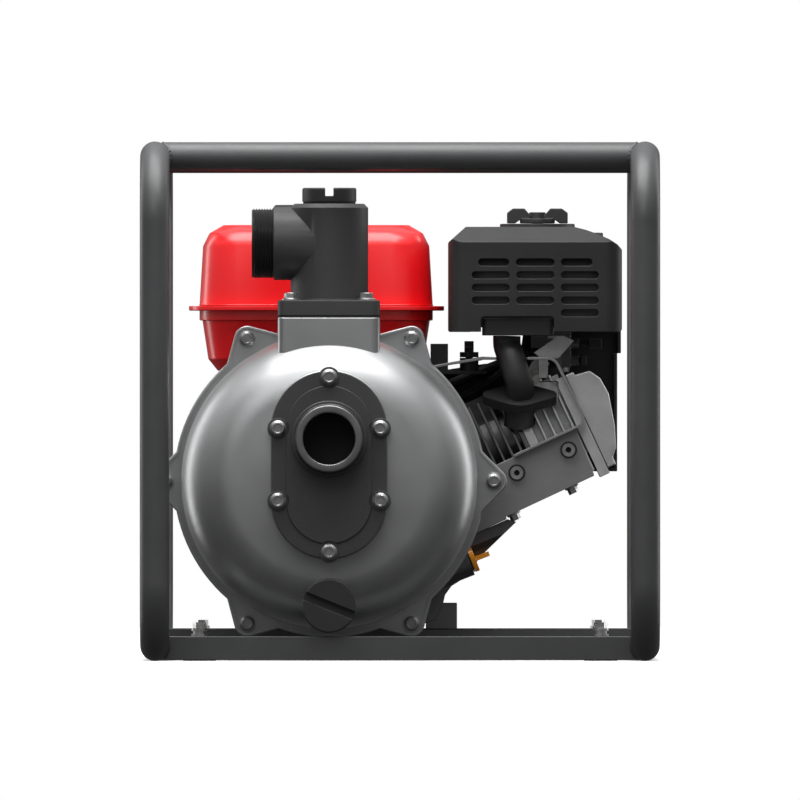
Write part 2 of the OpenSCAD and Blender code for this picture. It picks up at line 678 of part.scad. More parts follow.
module cylinder_head() color([0.45, 0.45, 0.46]) difference() {
    union() {
        difference() {
            along_cylinder() {
                translate([block_s, bore_y - 46, -58]) cube([8, 92, 92]);
                translate([block_s + 7, bore_y - 34, -44]) cube([40, 68, 72]);
                fins(block_s + 14, 220, -60, 30);
                translate([223, bore_y - 49, -67.4]) cube([9, 98, 91.4]);
            }
            exhaust_room();
            plug_rod(23, 205, 222);
            plug_rod(20, 221, 233);
            rod_y(23.4, 55.5, 90, intake_x, intake_z);
        }
        along_cylinder() lower_boss(1);
        plug_rod(24, 190, 206);
        front_boss(1);
        // Exhaust port that rises in front of the fins
        exhaust_port(26, -4, 16);
        // Intake port towards the carburettor
        rod_y(24, 40, 55.5, intake_x, intake_z);
    }
    plug_rod(14.4, 196, 207);
    exhaust_port(20, 2, 17);
    liner_bore();
    rod_y(16, 46, 56, intake_x, intake_z);
    front_boss_hole(1);
    along_cylinder() lower_boss_hole(1);
}

module valve_cover() color([0.70, 0.71, 0.72]) along_cylinder() difference() {
    slab(-12, 82) polygon([[head_s, -63], [240, -63], [240, -56], [246, -50], [253, -32],
        [259.6, -6], [258.7, 9], [253, 19], [240, 21], [240, 24], [head_s, 24]]);
    slab(-4, 74) polygon([[head_s - eps, -54], [240, -48], [249, -28], [254, -5],
        [252, 8], [head_s - eps, 14]]);
}

// Rim of the shroud's window round the fins, as X and Z
window_rim = concat([[28, 249], [43, 252], [70, 256.4]], arc([126, 247.4], 9, 90, 26.6),
    arc([147.9, 205.8], 8, 26.6, -65), [[96.9, 173.2]]);

// Pressed sheet that guides cooling air along the cylinder
module cylinder_shroud() color([0.42, 0.42, 0.42]) difference() {
    union() {
        along_cylinder() {
            slab(-21, -19) polygon([[100, -66], [134, -66], [136, -64], [219, -64], [221.5, -20.4],
                [112, -20.4], [100, -30]]);
            translate([100, -21, -66]) cube([36, 60, 2]);
            translate([134, -21, -64]) cube([85, 88, 2]);
        }
        slab(-31, -18.7) polygon(band(window_rim, 2.4));
        slab(-20, -7) polygon(band(concat([for (i = [0:2]) window_rim[i]], [[112, 256.4]]), 2.4));
    }
    translate([81.5, -32, 240]) cube([27, 23.6, 24]);
    for (p = shroud_screws) rod_y(6 + 2 * bolt_gap, -22, -18, p[0], p[1]);
    along_cylinder() for (s = lower_screws) translate([s, 10, -65]) cylinder(d = 6 + 2 * bolt_gap, h = 4);
}

module at_recoil_screws() for (a = recoil_screws)
    translate([crank_x + recoil_pcd / 2 * cos(a), 0, crank_z + recoil_pcd / 2 * sin(a)]) children();

// Screw with a round socket head, head above z = 0
module socket_screw(shank) difference() {
    union() {
        translate([0, 0, -shank]) cylinder(d = 6, h = shank + eps);
        cylinder(d = 11, h = 4);
    }
    translate([0, 0, 1.5]) hex(5, 4);
}

// Screws of the shroud, the pump bracket and the recoil cover
module engine_screws() color([0.60, 0.60, 0.60]) {
    for (p = shroud_screws) facing_front(p[0], -21, p[1]) socket_screw(16);
    along_cylinder() for (s = lower_screws) translate([s, 10, -64]) rotate([180, 0, 0])
        flange_bolt(6, 12, 8, 12);
    at_bracket_screws() facing_front(0, engine_face - 9, 0) flange_bolt(8, 15, 10, 20);
    at_recoil_screws() facing_back(0, housing_back + 3, 0) flange_bolt(6, 12, 8, 5);
}

module spark_plug() color([0.88, 0.87, 0.84]) {
    plug_rod(13.8, 197, 206.5);
    along_cylinder() translate([206.3, plug_y, plug_t]) rotate([0, 90, 0]) hex(18, 6.7);
    plug_rod(9, 212, 221);
}

// Spark plug cap and its high-tension lead
module ignition_lead() color([0.06, 0.06, 0.06]) {
    difference() {
        plug_rod(17, 213.4, 231.4);
        plug_rod(9.6, 213, 222);
    }
    swept(smooth([[132.6, 14, 243.8], [128, 18, 257], [108, 34, 261], [76, 46, 236], [36, 60, 216],
        [6, 74, 211], [-50, 90, 215], [-100, 98, 219], [-106, 100, 218]]), 7);
}

module ignition_coil() color([0.10, 0.10, 0.10]) translate([crank_x, 112, crank_z])
    rotate([0, -122, 0]) translate([flywheel_r + 2, -10, -16]) {
        cube([8, 20, 32]);
        translate([7, 0, 6]) cube([16, 20, 20]);
    }

// Flywheel with the cooling fan's blades
module flywheel() color([0.50, 0.50, 0.52]) difference() {
    union() {
        rod_y(2 * flywheel_r, flywheel_y, 122, crank_x, crank_z);
        rod_y(46, 93, 128, crank_x, crank_z);
        for (k = [0:fan_blades - 1]) translate([crank_x, 0, crank_z]) rotate([0, 360 * k / fan_blades, 0])
            translate([44, 121, -1.25]) cube([flywheel_r - 46, 17, 2.5]);
    }
    rod_y(22.2, 92, 129, crank_x, crank_z);
    difference() {
        rod_y(2 * flywheel_r - 20, flywheel_y - eps, 112, crank_x, crank_z);
        rod_y(46, flywheel_y - 1, 113, crank_x, crank_z);
    }
}

module starter_cup() color([0.45, 0.45, 0.46]) difference() {
    rod_y(78, 138.5, 158, crank_x, crank_z);
    rod_y(72, 142, 158 + eps, crank_x, crank_z);
    rod_y(22.4, 138, 143, crank_x, crank_z);
}

// Outline of the fan housing and its arm over the cylinder, drawn in by e
function housing_outline(e) = concat(
    arc([crank_x, crank_z], 99 - e, 180, 340, 24),
    [[80, 118 + e], [160 + e, 160 + e], [185.7 - e, 160 + e], [185.7 - e, 261], [188.9 - e, 261],
    [188.9 - e, 284 - e], [106 + e, 284 - e], [102 + e, 254 - e], [72, 252 - e], [34, 246 - e],
    [-152 + e, 246 - e], [-159 + e, 239 - e]]);

module blower_housing() color([0.13, 0.13, 0.13]) difference() {
    union() {
        slab(housing_front, 104) polygon(housing_outline(0));
        slab(103, housing_back) intersection() {
            polygon(housing_outline(0));
            translate([-165, 0]) square([210, 300]);
        }
    }
    slab(housing_front - eps, 101) polygon(housing_outline(3));
    slab(100, housing_back - 3) intersection() {
        polygon(housing_outline(3));
        translate([-165, 0]) square([207, 300]);
    }
    rod_y(156, 140, housing_back + eps, crank_x, crank_z);
    at_recoil_screws() rod_y(6 + 2 * bolt_gap, 146, housing_back + eps, 0, 0);
    rod_y(9, 140, housing_back + eps, switch_x, switch_z);
}

// Dish over the recoil starter, with vent slots and the post the reel turns on
module recoil_cover() color([0.75, 0.08, 0.10]) difference() {
    union() {
        facing_back(crank_x, 0, crank_z) rotate_extrude() polygon([[0, recoil_back - 3],
            [70, recoil_back - 3], [78, 184], [81, housing_back], [97, housing_back],
            [97, housing_back + 3], [84.5, housing_back + 3], [81.5, 186], [72, recoil_back],
            [0, recoil_back]]);
        rod_y(20, 163, recoil_back - 2, crank_x, crank_z);
        translate(rope_start + 62 * rope_dir) rotate([0, -90 + rope_rise, 0]) cylinder(d = 15, h = 22);
    }
    for (a = [0:20:340]) translate([crank_x, recoil_back, crank_z]) rotate([90, 0, 0]) rotate(a)
        translate([50, 0, -eps]) linear_extrude(5) polygon(slot(24, 6));
    translate(rope_start + 50 * rope_dir) rotate([0, -90 + rope_rise, 0]) cylinder(d = 8, h = 40);
    at_recoil_screws() rod_y(6 + 2 * bolt_gap, housing_back - eps, 154, 0, 0);
}

module recoil_reel() color([0.15, 0.15, 0.16]) facing_back(crank_x, 0, crank_z) rotate_extrude()
    polygon([[10.06, reel_y - 9], [reel_r, reel_y - 9], [reel_r, reel_y - 6], [rope_r - 4, reel_y - 4],
        [rope_r - 4, reel_y + 4], [reel_r, reel_y + 6], [reel_r, reel_y + 9], [10.06, reel_y + 9]]);

module starter_rope() color([0.85, 0.85, 0.83]) translate(rope_start) rotate([0, -90 + rope_rise, 0])
    cylinder(d = 4, h = rope_free);

// Grip at the rope's end
module starter_handle() color([0.08, 0.08, 0.08])
    translate(rope_start + 86 * rope_dir) rotate([0, -90 + rope_rise, 0]) difference() {
        union() {
            cylinder(d1 = 15, d2 = 20, h = 10);
            translate([0, 0, 9]) rotate([-90, 0, 0]) linear_extrude(22, center = true)
                polygon([[-36, -4], [-30, 0], [30, 0], [36, -4],
                    [36, -15], [30, -18], [-30, -18], [-36, -15]]);
        }
        translate([0, 0, -eps]) cylinder(d = 4.4, h = 12);
    }

module engine_switch() color([0.72, 0.05, 0.05]) {
    rod_y(8, 141, 154, switch_x, switch_z);
    rod_y(24, 150.6, 160, switch_x, switch_z);
    translate([switch_x - 2.5, 159, switch_z - 11]) cube([5, 8, 22]);
}

// ---------- exhaust ----------

module exhaust_pipe() color([0.12, 0.12, 0.12]) {
    along_exhaust() translate([0, 0, 16.2]) difference() {
        linear_extrude(8) polygon(concat(arc([24, 0], 7.5, -70, 70), arc([0, 0], 19, 65, 115),
            arc([-24, 0], 7.5, 110, 250), arc([0, 0], 19, 245, 295)));
        translate([0, 0, -eps]) cylinder(d = 20, h = 10);
    }
    swept(smooth([[102, -20.3, 226], [102, -25, 234], [99, -26, 243], [95, -23, 256],
        [91.6, -17, 266], [91, -16, 271], [91, -16, 275.5]]), 23.5, 20);
}

module muffler_body() color([0.14, 0.14, 0.14]) difference() {
    union() {
        slab(-36, 46) translate([115, 316]) polygon(rounded(128, 66, 16));
        plate(276, 290) translate([100.5, -5]) polygon(rounded(61, 66, 4));
    }
    slab(-34, 44) translate([115, 316]) polygon(rounded(124, 62, 14));
    rod_z(20, 275, 290, 91, -16);
    rod_x(18, 160, 185, 20, 300);
}

// Outline of the muffler's guard from the front, drawn in by e
function guard_outline(e) = concat(
    arc([43 + e, 281 + e], 2, 180, 270), [[69, 279 + e], [69, 288 + e]], arc([72, 289 + e], 3, 180, 90),
    arc([128, 289 + e], 3, 90, 0), [[131, 288 + e], [131, 279 + e]], arc([186 - e, 282 + e], 3, 270, 360),
    [[189 - e, 349], [185 - e, 353.5 - e], [178, 358 - e], [168, 362.5 - e], [158, 366 - e],
    [148, 368.5 - e], [56, 368.5 - e], [41 + e, 355]]);

// Same guard from the side, with its front edge sloped back
function guard_side(e) = [[shield_front + e, 260], [40, 260], [40, 368.5 - e], [-26, 368.5 - e],
    [shield_front + e, 355.5 - e]];

// Same guard from above, with round front corners
function guard_plan(e, back) = concat(arc([55, shield_front + 14], 14 - e, 180, 270),
    arc([175, shield_front + 14], 14 - e, 270, 360), [[189 - e, back], [41 + e, back]]);

module guard_solid(e) intersection() {
    slab(shield_front - eps, 41) polygon(guard_outline(e));
    panel(30, 200) polygon(guard_side(e));
    plate(250, 380) polygon(guard_plan(e, 42));
}

module muffler_shield() color([0.09, 0.09, 0.09]) difference() {
    guard_solid(0);
    intersection() {
        slab(shield_front + 1.5, 42) polygon(guard_outline(1.5));
        panel(30, 200) polygon(guard_side(1.5));
        plate(250, 380) polygon(guard_plan(1.5, 43));
    }
    translate([60, shield_front + 1.5, 270]) cube([115, 90, 40]);
    for (row = guard_slots) for (s = row[1])
        slab(shield_front - 1, shield_front + 3) translate([s[0], row[0]]) polygon(slot(s[1], 6));
}

// Strap between the cylinder head and the muffler
module muffler_stay() color([0.62, 0.62, 0.62]) {
    slab(-6, -3) polygon([[118, 239.5], [126, 239.5], [126, 256.2], [134.6, 256.2], [148.7, 271.7],
        [140, 276], [126, 276], [130.8, 273.1], [113.9, 261.3], [118, 258]]);
    translate([126, -6, 273.5]) cube([5, 12, 2.5]);
}

// ---------- fuel and air ----------

// Thin rounded layer of the tank
module tank_layer(z, w, d, r) translate([tank_x, tank_y, z]) linear_extrude(0.2)
    polygon(rounded(w, d, r));

// Tank body, drawn in by e all round
module tank_solid(e) {
    hull() {
        tank_layer(246 + e, 168 - 2 * e, 128 - 2 * e, 26);
        tank_layer(256 + e, 184 - 2 * e, 146 - 2 * e, 30);
        tank_layer(289 + e, 194 - 2 * e, 158 - 2 * e, 32);
    }
    plate(289 + e, 302) translate([tank_x, tank_y]) polygon(rounded(199 - 2 * e, 164 - 2 * e, 34));
    hull() {
        tank_layer(301, 199 - 2 * e, 164 - 2 * e, 34);
        tank_layer(352, 193 - 2 * e, 158 - 2 * e, 32);
        tank_layer(363 - e, 182 - 2 * e, 146 - 2 * e, 30);
        tank_layer(370 - e, 158 - 2 * e, 122 - 2 * e, 26);
    }
}

module fuel_tank() color([0.85, 0.05, 0.08]) difference() {
    union() {
        tank_solid(0);
        plate(297.4, 301.1) translate([-71.2, tank_y]) polygon(rounded(217.6, 182, 38));
        rod_z(60, 366, 380, tank_x, tank_y);
        rod_z(12, 236, 250, 6, 78);
    }
    tank_solid(1.8);
    rod_z(50, 360, 381, tank_x, tank_y);
    rod_z(6, 235, 252, 6, 78);
}

module fuel_cap_seal() color([0.05, 0.05, 0.05]) difference() {
    rod_z(59, 380.1, 381.6, tank_x, tank_y);
    rod_z(50, 380, 382, tank_x, tank_y);
}

module fuel_cap() color([0.07, 0.07, 0.07]) translate([tank_x, tank_y, 0]) difference() {
    rotate_extrude() polygon([[0, 381.7], [31, 381.7], [31, 372], [38, 372], [38, 384],
        [35, 387.6], [0, 387.6]]);
    for (a = [0:30:330]) rotate(a) translate([40.5, 0, 371]) cylinder(d = 8, h = 18);
}

module fuel_hose() color([0.06, 0.06, 0.06]) swept(smooth([[6, 78, 235.4], [6, 78, 231], [12, 76, 225],
    [26, 74, 227], [50, 73, 237], [84, 72, 251], [98, 72, 255.6], [104.8, 72, 256]]), 9);

module carburetor() color([0.66, 0.66, 0.66]) difference() {
    union() {
        translate([carb_x - 17, carb_y - 13, 249]) cube([34, 26, 33]);
        rod_z(32, 244.6, 258, carb_x, carb_y);
        rod_y(22, 55.6, 66, intake_x, intake_z);
        rod_x(7, 105, 114, carb_y, 256);
        for (z = [choke_z, fuel_valve_z]) rod_x(10, 145, 153, carb_y, z);
    }
    rod_z(22, 262, 283, carb_x, carb_y);
    for (z = [choke_z, fuel_valve_z]) rod_x(6.16, 147, 154, carb_y, z);
}

// Lever on the side of the carburettor: shaft to x, then an arm with an end tab
module side_lever(x, z, tab) {
    rod_x(6, 148, x + 3, carb_y, z);
    rod_x(9, x, x + 3, carb_y, z);
    translate([x, carb_y - 20, z - 3]) cube([3, 20, 6]);
    translate([x, carb_y - 23, z - 4]) cube([tab, 6, 8]);
}

module choke_lever() color([0.08, 0.08, 0.08]) side_lever(161, choke_z, 11);
module fuel_valve_lever() color([0.08, 0.08, 0.08]) side_lever(154.5, fuel_valve_z, 5);

module air_cleaner_base() color([0.10, 0.10, 0.10]) difference() {
    union() {
        plate(286, 300) translate([filter_x, filter_y]) polygon(rounded(112, 88, 16));
        plate(282, 287) translate([carb_x, carb_y]) polygon(rounded(44, 26, 5));
    }
    plate(289, 301) translate([filter_x, filter_y]) polygon(rounded(107, 83, 14));
    rod_z(22, 281, 290, carb_x, carb_y);
}

module air_filter_element() color([0.80, 0.76, 0.60]) difference() {
    plate(290, 350) translate([filter_x, filter_y]) polygon(rounded(92, 70, 12));
    plate(289, 345) translate([filter_x, filter_y]) polygon(rounded(60, 40, 8));
}

module air_cleaner_cover() color([0.10, 0.10, 0.10]) difference() {
    union() {
        plate(300.4, 364) translate([filter_x, filter_y]) polygon(rounded(112, 88, 16));
        rod_z(2 * filter_r, 363, 371.7, filter_x, filter_y);
    }
    plate(299, 361) translate([filter_x, filter_y]) polygon(rounded(107, 83, 14));
    rod_z(8.4, 360, 373, filter_x, filter_y);
}

// Wing knob that holds the air cleaner's cover down
module air_cleaner_knob() color([0.08, 0.08, 0.08]) {
    rod_z(8.2, 362, 374, filter_x, filter_y);
    rod_z(30, 372, 376, filter_x, filter_y);
    rod_z(14, 375, 381.6, filter_x, filter_y);
    for (turn = [0, 180]) translate([filter_x, filter_y, 375]) rotate(turn)
        translate([15, 0, 0]) rotate([90, 0, 0]) linear_extrude(9, center = true)
            polygon([[-9, 0], [-9, 4], [-4, 9.8], [6, 9.8], [11, 6], [11, -3], [4, -3], [0, 0]]);
}

// Governor bracket on top of the block, which also carries the tank's front
module control_plate() color([0.10, 0.10, 0.10]) difference() {
    union() {
        translate([-40, 20, 201]) cube([3, 40, 43]);
        translate([-40, 20, 201]) cube([24, 40, 3]);
        translate([-40, 20, 243]) cube([114, 40, 3]);
        translate([26, 20, 245]) cube([15, 16, 24]);
        rod_z(16, 245, 257, lever_x, lever_y);
    }
    rod_z(6.16, 240, 260, lever_x, lever_y);
}

module throttle_lever() color([0.08, 0.08, 0.08]) {
    rod_z(6, 244, 266, lever_x, lever_y);
    rod_z(16, 257.4, 262, lever_x, lever_y);
    translate([lever_x - 3, lever_y, 257.4]) cube([6, 42, 3]);
    translate([lever_x - 4, lever_y + 36, 257.4]) cube([8, 8, 14]);
}

// Oil dipstick with a T grip, along the filler neck
module along_filler() translate([cap_x, filler_y, cap_z]) rotate([0, 90 - cap_tilt, 0]) children();

module dipstick() color([1.0, 0.62, 0.10]) along_filler() {
    translate([0, 0, -2]) cylinder(d = 21, h = 4);
    translate([0, 0, -13]) cylinder(d = 16, h = 12);
    translate([0, 0, -32]) cylinder(d = 4, h = 21);
    translate([-2, -8, 1.5]) cube([4, 16, 13]);
}

module dipstick_seal() color([0.05, 0.05, 0.05]) along_filler() translate([0, 0, -3.4]) difference() {
    cylinder(d = 20, h = 1.3);
    translate([0, 0, -eps]) cylinder(d = 16.8, h = 2.5);
}

frame_hoops();
cross_tubes();
base_rails();
rubber_feet();
frame_bolts();
pump_bracket();
pump_casing();
pump_gaskets();
casing_bolts();
volute();
impeller();
mechanical_seal();
suction_cover();
suction_cover_bolts();
check_valve_flap();
outlet_tower();
outlet_bolts();
priming_plug();
priming_plug_seal();
drain_plug();
drain_plug_seal();
engine_block();
crankcase_cover();
cylinder_liner();
crankshaft();
crank_bearings();
cylinder_head();
valve_cover();
cylinder_shroud();
engine_screws();
spark_plug();
ignition_lead();
ignition_coil();
flywheel();
starter_cup();
blower_housing();
recoil_cover();
recoil_reel();
starter_rope();
starter_handle();
engine_switch();
exhaust_pipe();
muffler_body();
muffler_shield();
muffler_stay();
fuel_tank();
fuel_cap();
fuel_cap_seal();
fuel_hose();
carburetor();
air_cleaner_base();
air_filter_element();
air_cleaner_cover();
air_cleaner_knob();
control_plate();
throttle_lever();
choke_lever();
fuel_valve_lever();
dipstick();
dipstick_seal();
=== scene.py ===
# Looks of the portable fire pump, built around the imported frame. Lengths are in metres.
import json
import math

import bmesh
import bpy
from mathutils import Matrix, Vector


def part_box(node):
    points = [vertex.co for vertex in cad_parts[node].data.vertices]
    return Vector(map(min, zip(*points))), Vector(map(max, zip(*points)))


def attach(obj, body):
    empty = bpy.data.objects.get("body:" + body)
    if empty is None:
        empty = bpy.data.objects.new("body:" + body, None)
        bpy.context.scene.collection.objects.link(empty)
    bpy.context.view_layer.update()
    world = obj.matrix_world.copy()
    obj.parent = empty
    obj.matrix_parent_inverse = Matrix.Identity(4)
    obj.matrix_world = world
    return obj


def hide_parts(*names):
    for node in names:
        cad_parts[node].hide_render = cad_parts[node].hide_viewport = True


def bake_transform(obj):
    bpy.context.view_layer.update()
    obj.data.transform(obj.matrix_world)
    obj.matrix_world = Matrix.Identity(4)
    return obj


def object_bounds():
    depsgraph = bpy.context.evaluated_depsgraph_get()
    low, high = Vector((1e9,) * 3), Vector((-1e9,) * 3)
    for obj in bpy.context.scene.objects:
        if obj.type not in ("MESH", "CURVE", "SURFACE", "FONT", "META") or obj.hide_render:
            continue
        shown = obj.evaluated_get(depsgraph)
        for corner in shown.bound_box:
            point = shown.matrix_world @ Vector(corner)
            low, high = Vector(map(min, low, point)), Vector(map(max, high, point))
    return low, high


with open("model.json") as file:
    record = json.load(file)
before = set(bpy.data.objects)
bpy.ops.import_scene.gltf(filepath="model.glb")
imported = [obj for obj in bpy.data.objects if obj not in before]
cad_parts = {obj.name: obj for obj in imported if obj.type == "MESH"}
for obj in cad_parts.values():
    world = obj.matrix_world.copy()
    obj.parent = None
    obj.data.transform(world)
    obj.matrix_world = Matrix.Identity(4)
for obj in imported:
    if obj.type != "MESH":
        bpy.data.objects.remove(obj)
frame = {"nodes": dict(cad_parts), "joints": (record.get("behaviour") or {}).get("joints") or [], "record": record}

cad_low, cad_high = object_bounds()
MM = 0.001
record = frame["record"]
JOINTS = {joint["name"]: joint for joint in frame["joints"]}
MOUNTS = {mount["name"]: mount for mount in record["mounts"]}
BODY_OF = {node: body for body, nodes in record["behaviour"]["bodies"].items() for node in nodes}


def middle(node):
    low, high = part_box(node)
    return (low + high) / 2


CRANK = Vector(JOINTS["crank_spin"]["pos_m"])
BRANCH = Vector(MOUNTS["outlet_port"]["pos_m"])
PORT = Vector(MOUNTS["suction_port"]["pos_m"])
CASING = Vector((CRANK.x, 0, middle("casing_bolts").z))
FRONT = -Vector((0, 1, 0))


# ---------- shapes ----------

def facing(place, normal, turn=0.0):
    """Matrix that puts local +Z along normal at place, with local +X as near world +X or -Y as it can be."""
    z = Vector(normal).normalized()
    guide = Vector((1, 0, 0)) if abs(z.x) < 0.9 else Vector((0, -1, 0))
    y = z.cross(guide).normalized()
    x = y.cross(z)
    rotation = Matrix((x, y, z)).transposed().to_4x4()
    return Matrix.Translation(Vector(place)) @ rotation @ Matrix.Rotation(turn, 4, "Z")


def soften(points, radius, closed=True, steps=4):
    """The outline with its corners rounded; radius is one number, or one for each corner."""
    count = len(points)
    radii = radius if isinstance(radius, (list, tuple)) else [radius] * count
    result = []
    for i, point in enumerate(points):
        corner = Vector(point)
        if not closed and i in (0, count - 1) or radii[i] == 0:
            result.append(corner)
            continue
        before = Vector(points[i - 1]) - corner
        after = Vector(points[(i + 1) % count]) - corner
        half = before.angle(after) / 2
        reach = min(radii[i] / math.tan(half), before.length * 0.49, after.length * 0.49)
        start = corner + before.normalized() * reach
        end = corner + after.normalized() * reach
        for k in range(steps + 1):
            u = k / steps
            result.append(start * (1 - u) ** 2 + corner * (2 * u * (1 - u)) + end * u ** 2)
    return result


def rectangle(width, height, radius, steps=6):
    w, h = width / 2, height / 2
    return soften([(w, -h), (w, h), (-w, h), (-w, -h)], radius, steps=steps)


def oblong(half_width, low, high, steps=32):
    """Upright oblong about x = 0 with half-round ends centred at heights low and high."""
    top = [Vector((half_width * math.cos(a), high + half_width * math.sin(a)))
           for a in (math.pi * k / steps for k in range(steps + 1))]
    bottom = [Vector((-half_width * math.cos(a), low - half_width * math.sin(a)))
              for a in (math.pi * k / steps for k in range(steps + 1))]
    return top + bottom


def circle(radius, steps=48):
    return [Vector((radius * math.cos(2 * math.pi * k / steps), radius * math.sin(2 * math.pi * k / steps)))
            for k in range(steps)]


def inset(outline, distance):
    """The outline moved inwards by a distance; it runs anticlockwise."""
    result = []
    count = len(outline)
    for i, point in enumerate(outline):
        before = (point - outline[i - 1]).normalized()
        after = (outline[(i + 1) % count] - point).normalized()
        normal = Vector((-(before.y + after.y), before.x + after.x))
        if normal.length < 1e-9:
            normal = Vector((-before.y, before.x))
        normal.normalize()
        spread = max(0.5, normal.dot(Vector((-before.y, before.x))))
        result.append(point + normal * (distance / spread))
    return result


def bridge(bm, lower, upper):
    """Faces between two rings of vertices, or between a ring and one point."""
    count = max(len(lower), len(upper))
    for k in range(count):
        n = (k + 1) % count
        if len(lower) == 1:
            bm.faces.new((lower[0], upper[n], upper[k]))
        elif len(upper) == 1:
            bm.faces.new((lower[k], lower[n], upper[0]))
        else:
            bm.faces.new((lower[k], lower[n], upper[n], upper[k]))


def ring(bm, outline, height, place):
    return [bm.verts.new(place @ Vector((p[0], p[1], height))) for p in outline]


def skin(bm, rings, capped=True):
    """Closed surface through a list of rings of vertices."""
    for lower, upper in zip(rings, rings[1:]):
        bridge(bm, lower, upper)
    if capped:
        bm.faces.new(list(reversed(rings[0])))
        bm.faces.new(rings[-1])


def prism(bm, outline, low, high, place=Matrix(), edge=0.8 * MM, steps=3):
    """Solid between two heights, with both rims rounded by edge."""
    turns = [math.pi / 2 * k / steps for k in range(steps + 1)]
    rings = [ring(bm, inset(outline, edge * (1 - math.sin(a))), low + edge * (1 - math.cos(a)), place)
             for a in turns]
    rings += [ring(bm, inset(outline, edge * (1 - math.cos(a))), high - edge * (1 - math.sin(a)), place)
              for a in turns]
    skin(bm, rings)


def lathe(bm, profile, place=Matrix(), steps=96, closed=False):
    """Turns a profile of (radius, height) round the place's Z axis."""
    rings = []
    for radius, height in profile:
        if radius < 1e-7:
            rings.append([bm.verts.new(place @ Vector((0, 0, height)))])
        else:
            rings.append(ring(bm, circle(radius, steps), height, place))
    if closed:
        rings.append(rings[0])
    for lower, upper in zip(rings, rings[1:]):
        bridge(bm, lower, upper)


def disc(bm, radius, low, high, place=Matrix(), edge=0.8 * MM, steps=64):
    """Short or long cylinder with rounded rims."""
    profile = soften([(0, low), (radius, low), (radius, high), (0, high)], edge, closed=False, steps=3)
    lathe(bm, profile, place, steps)


def sleeve(bm, outer, inner, low, high, place=Matrix(), edge=0.8 * MM, steps=64):
    """Tube with rounded rims."""
    profile = soften([(inner, low), (outer, low), (outer, high), (inner, high)], edge, steps=3)
    lathe(bm, profile, place, steps, closed=True)


def tube(bm, path, radius, sides=24, closed=False, ends=True):
    """Round tube along a path; radius is a number, or a function of the share of the path."""
    count = len(path)
    normal = None
    rings = []
    for i, point in enumerate(path):
        before = path[i - 1] if closed or i else path[0]
        after = path[(i + 1) % count] if closed or i < count - 1 else path[-1]
        tangent = (after - before).normalized()
        if normal is None:
            guide = Vector((1, 0, 0)) if abs(tangent.x) < 0.9 else Vector((0, 0, 1))
            normal = tangent.cross(guide)
        normal = (normal - tangent * normal.dot(tangent)).normalized()
        side = tangent.cross(normal)
        size = radius(i / (count - 1)) if callable(radius) else radius
        rings.append([bm.verts.new(point + (normal * math.cos(a) + side * math.sin(a)) * size)
                      for a in (2 * math.pi * k / sides for k in range(sides))])
    if closed:
        rings.append(rings[0])
    for lower, upper in zip(rings, rings[1:]):
        bridge(bm, lower, upper)
    if ends and not closed:
        bm.faces.new(list(reversed(rings[0])))
        bm.faces.new(rings[-1])


def threaded(bm, radius, depth, pitch, low, high, place, steps=72):
    """Screw thread: a solid whose wall is a helical ridge that fades out at both ends."""
    per_turn = 8
    rows = int(round((high - low) / pitch * per_turn))
    rings = []
    for row in range(rows + 1):
        height = low + (high - low) * row / rows
        fade = min(1, (row + 2) / per_turn, (rows - row + 1) / per_turn)
        outline = []
        for k in range(steps):
            turn = k / steps
            ridge = abs(((height - low) / pitch - turn) % 1 * 2 - 1)
            size = radius - depth * (1 - ridge * fade)
            outline.append(Vector((size * math.cos(2 * math.pi * turn), size * math.sin(2 * math.pi * turn))))
        rings.append(ring(bm, outline, height, place))
    skin(bm, rings)


def hex_head(bm, across, low, high, place, steps=60):
    """Hexagon head with its corners turned off in a cone, and a slightly hollow top."""
    flat = across / 2
    crown = flat * 0.97
    radii = []
    for k in range(steps):
        angle = 2 * math.pi * k / steps
        radii.append(flat / math.cos((angle + math.pi / 6) % (math.pi / 3) - math.pi / 6))
    wall = [Vector((r * math.cos(2 * math.pi * k / steps), r * math.sin(2 * math.pi * k / steps)))
            for k, r in enumerate(radii)]
    base = ring(bm, wall, low, place)
    shoulder = [bm.verts.new(place @ Vector((p.x, p.y, high - 0.25 * MM - (r - crown) * 0.6)))
                for p, r in zip(wall, radii)]
    top = [ring(bm, circle(crown * share, steps), high - drop, place)
           for share, drop in ((0.97, 0), (0.72, 0), (0.64, 0.35 * MM))]
    skin(bm, [base, shoulder] + top)


def flange_bolt(bm, place, thread, flange, across, height=6.4 * MM):
    """Flange bolt's head, standing on the place's z = 0, with a short shank below."""
    disc(bm, thread / 2, -4 * MM, 1 * MM, place, 0.3 * MM, 24)
    profile = soften([(0, 0), (flange / 2, 0), (flange / 2, 1.1 * MM), (across / 2 * 1.05, 2.1 * MM),
                      (0, 2.1 * MM)], 0.35 * MM, closed=False, steps=3)
    lathe(bm, profile, place, 48)
    hex_head(bm, across, 1.5 * MM, height, place)


# ---------- objects ----------

def solid(name, bm):
    """A mesh object made from the bmesh."""
    bmesh.ops.recalc_face_normals(bm, faces=bm.faces)
    mesh = bpy.data.meshes.new(name)
    bm.to_mesh(mesh)
    bm.free()
    piece = bpy.data.objects.new(name, mesh)
    bpy.context.scene.collection.objects.link(piece)
    return piece


def bake_modifiers(piece):
    """Puts the result of the modifiers into the piece's own mesh."""
    bpy.context.view_layer.update()
    evaluated = piece.evaluated_get(bpy.context.evaluated_depsgraph_get())
    mesh = bpy.data.meshes.new_from_object(evaluated)
    piece.modifiers.clear()
    piece.data = mesh
    return piece


def combine(piece, others, operation):
    """Exact union with, or cut by, each of the other solids, which are used up."""
    for other in others:
        modifier = piece.modifiers.new(operation, "BOOLEAN")
        modifier.solver = "EXACT"
        modifier.operation = operation
        modifier.object = other
        bake_modifiers(piece)
        bpy.data.objects.remove(other)
    return piece


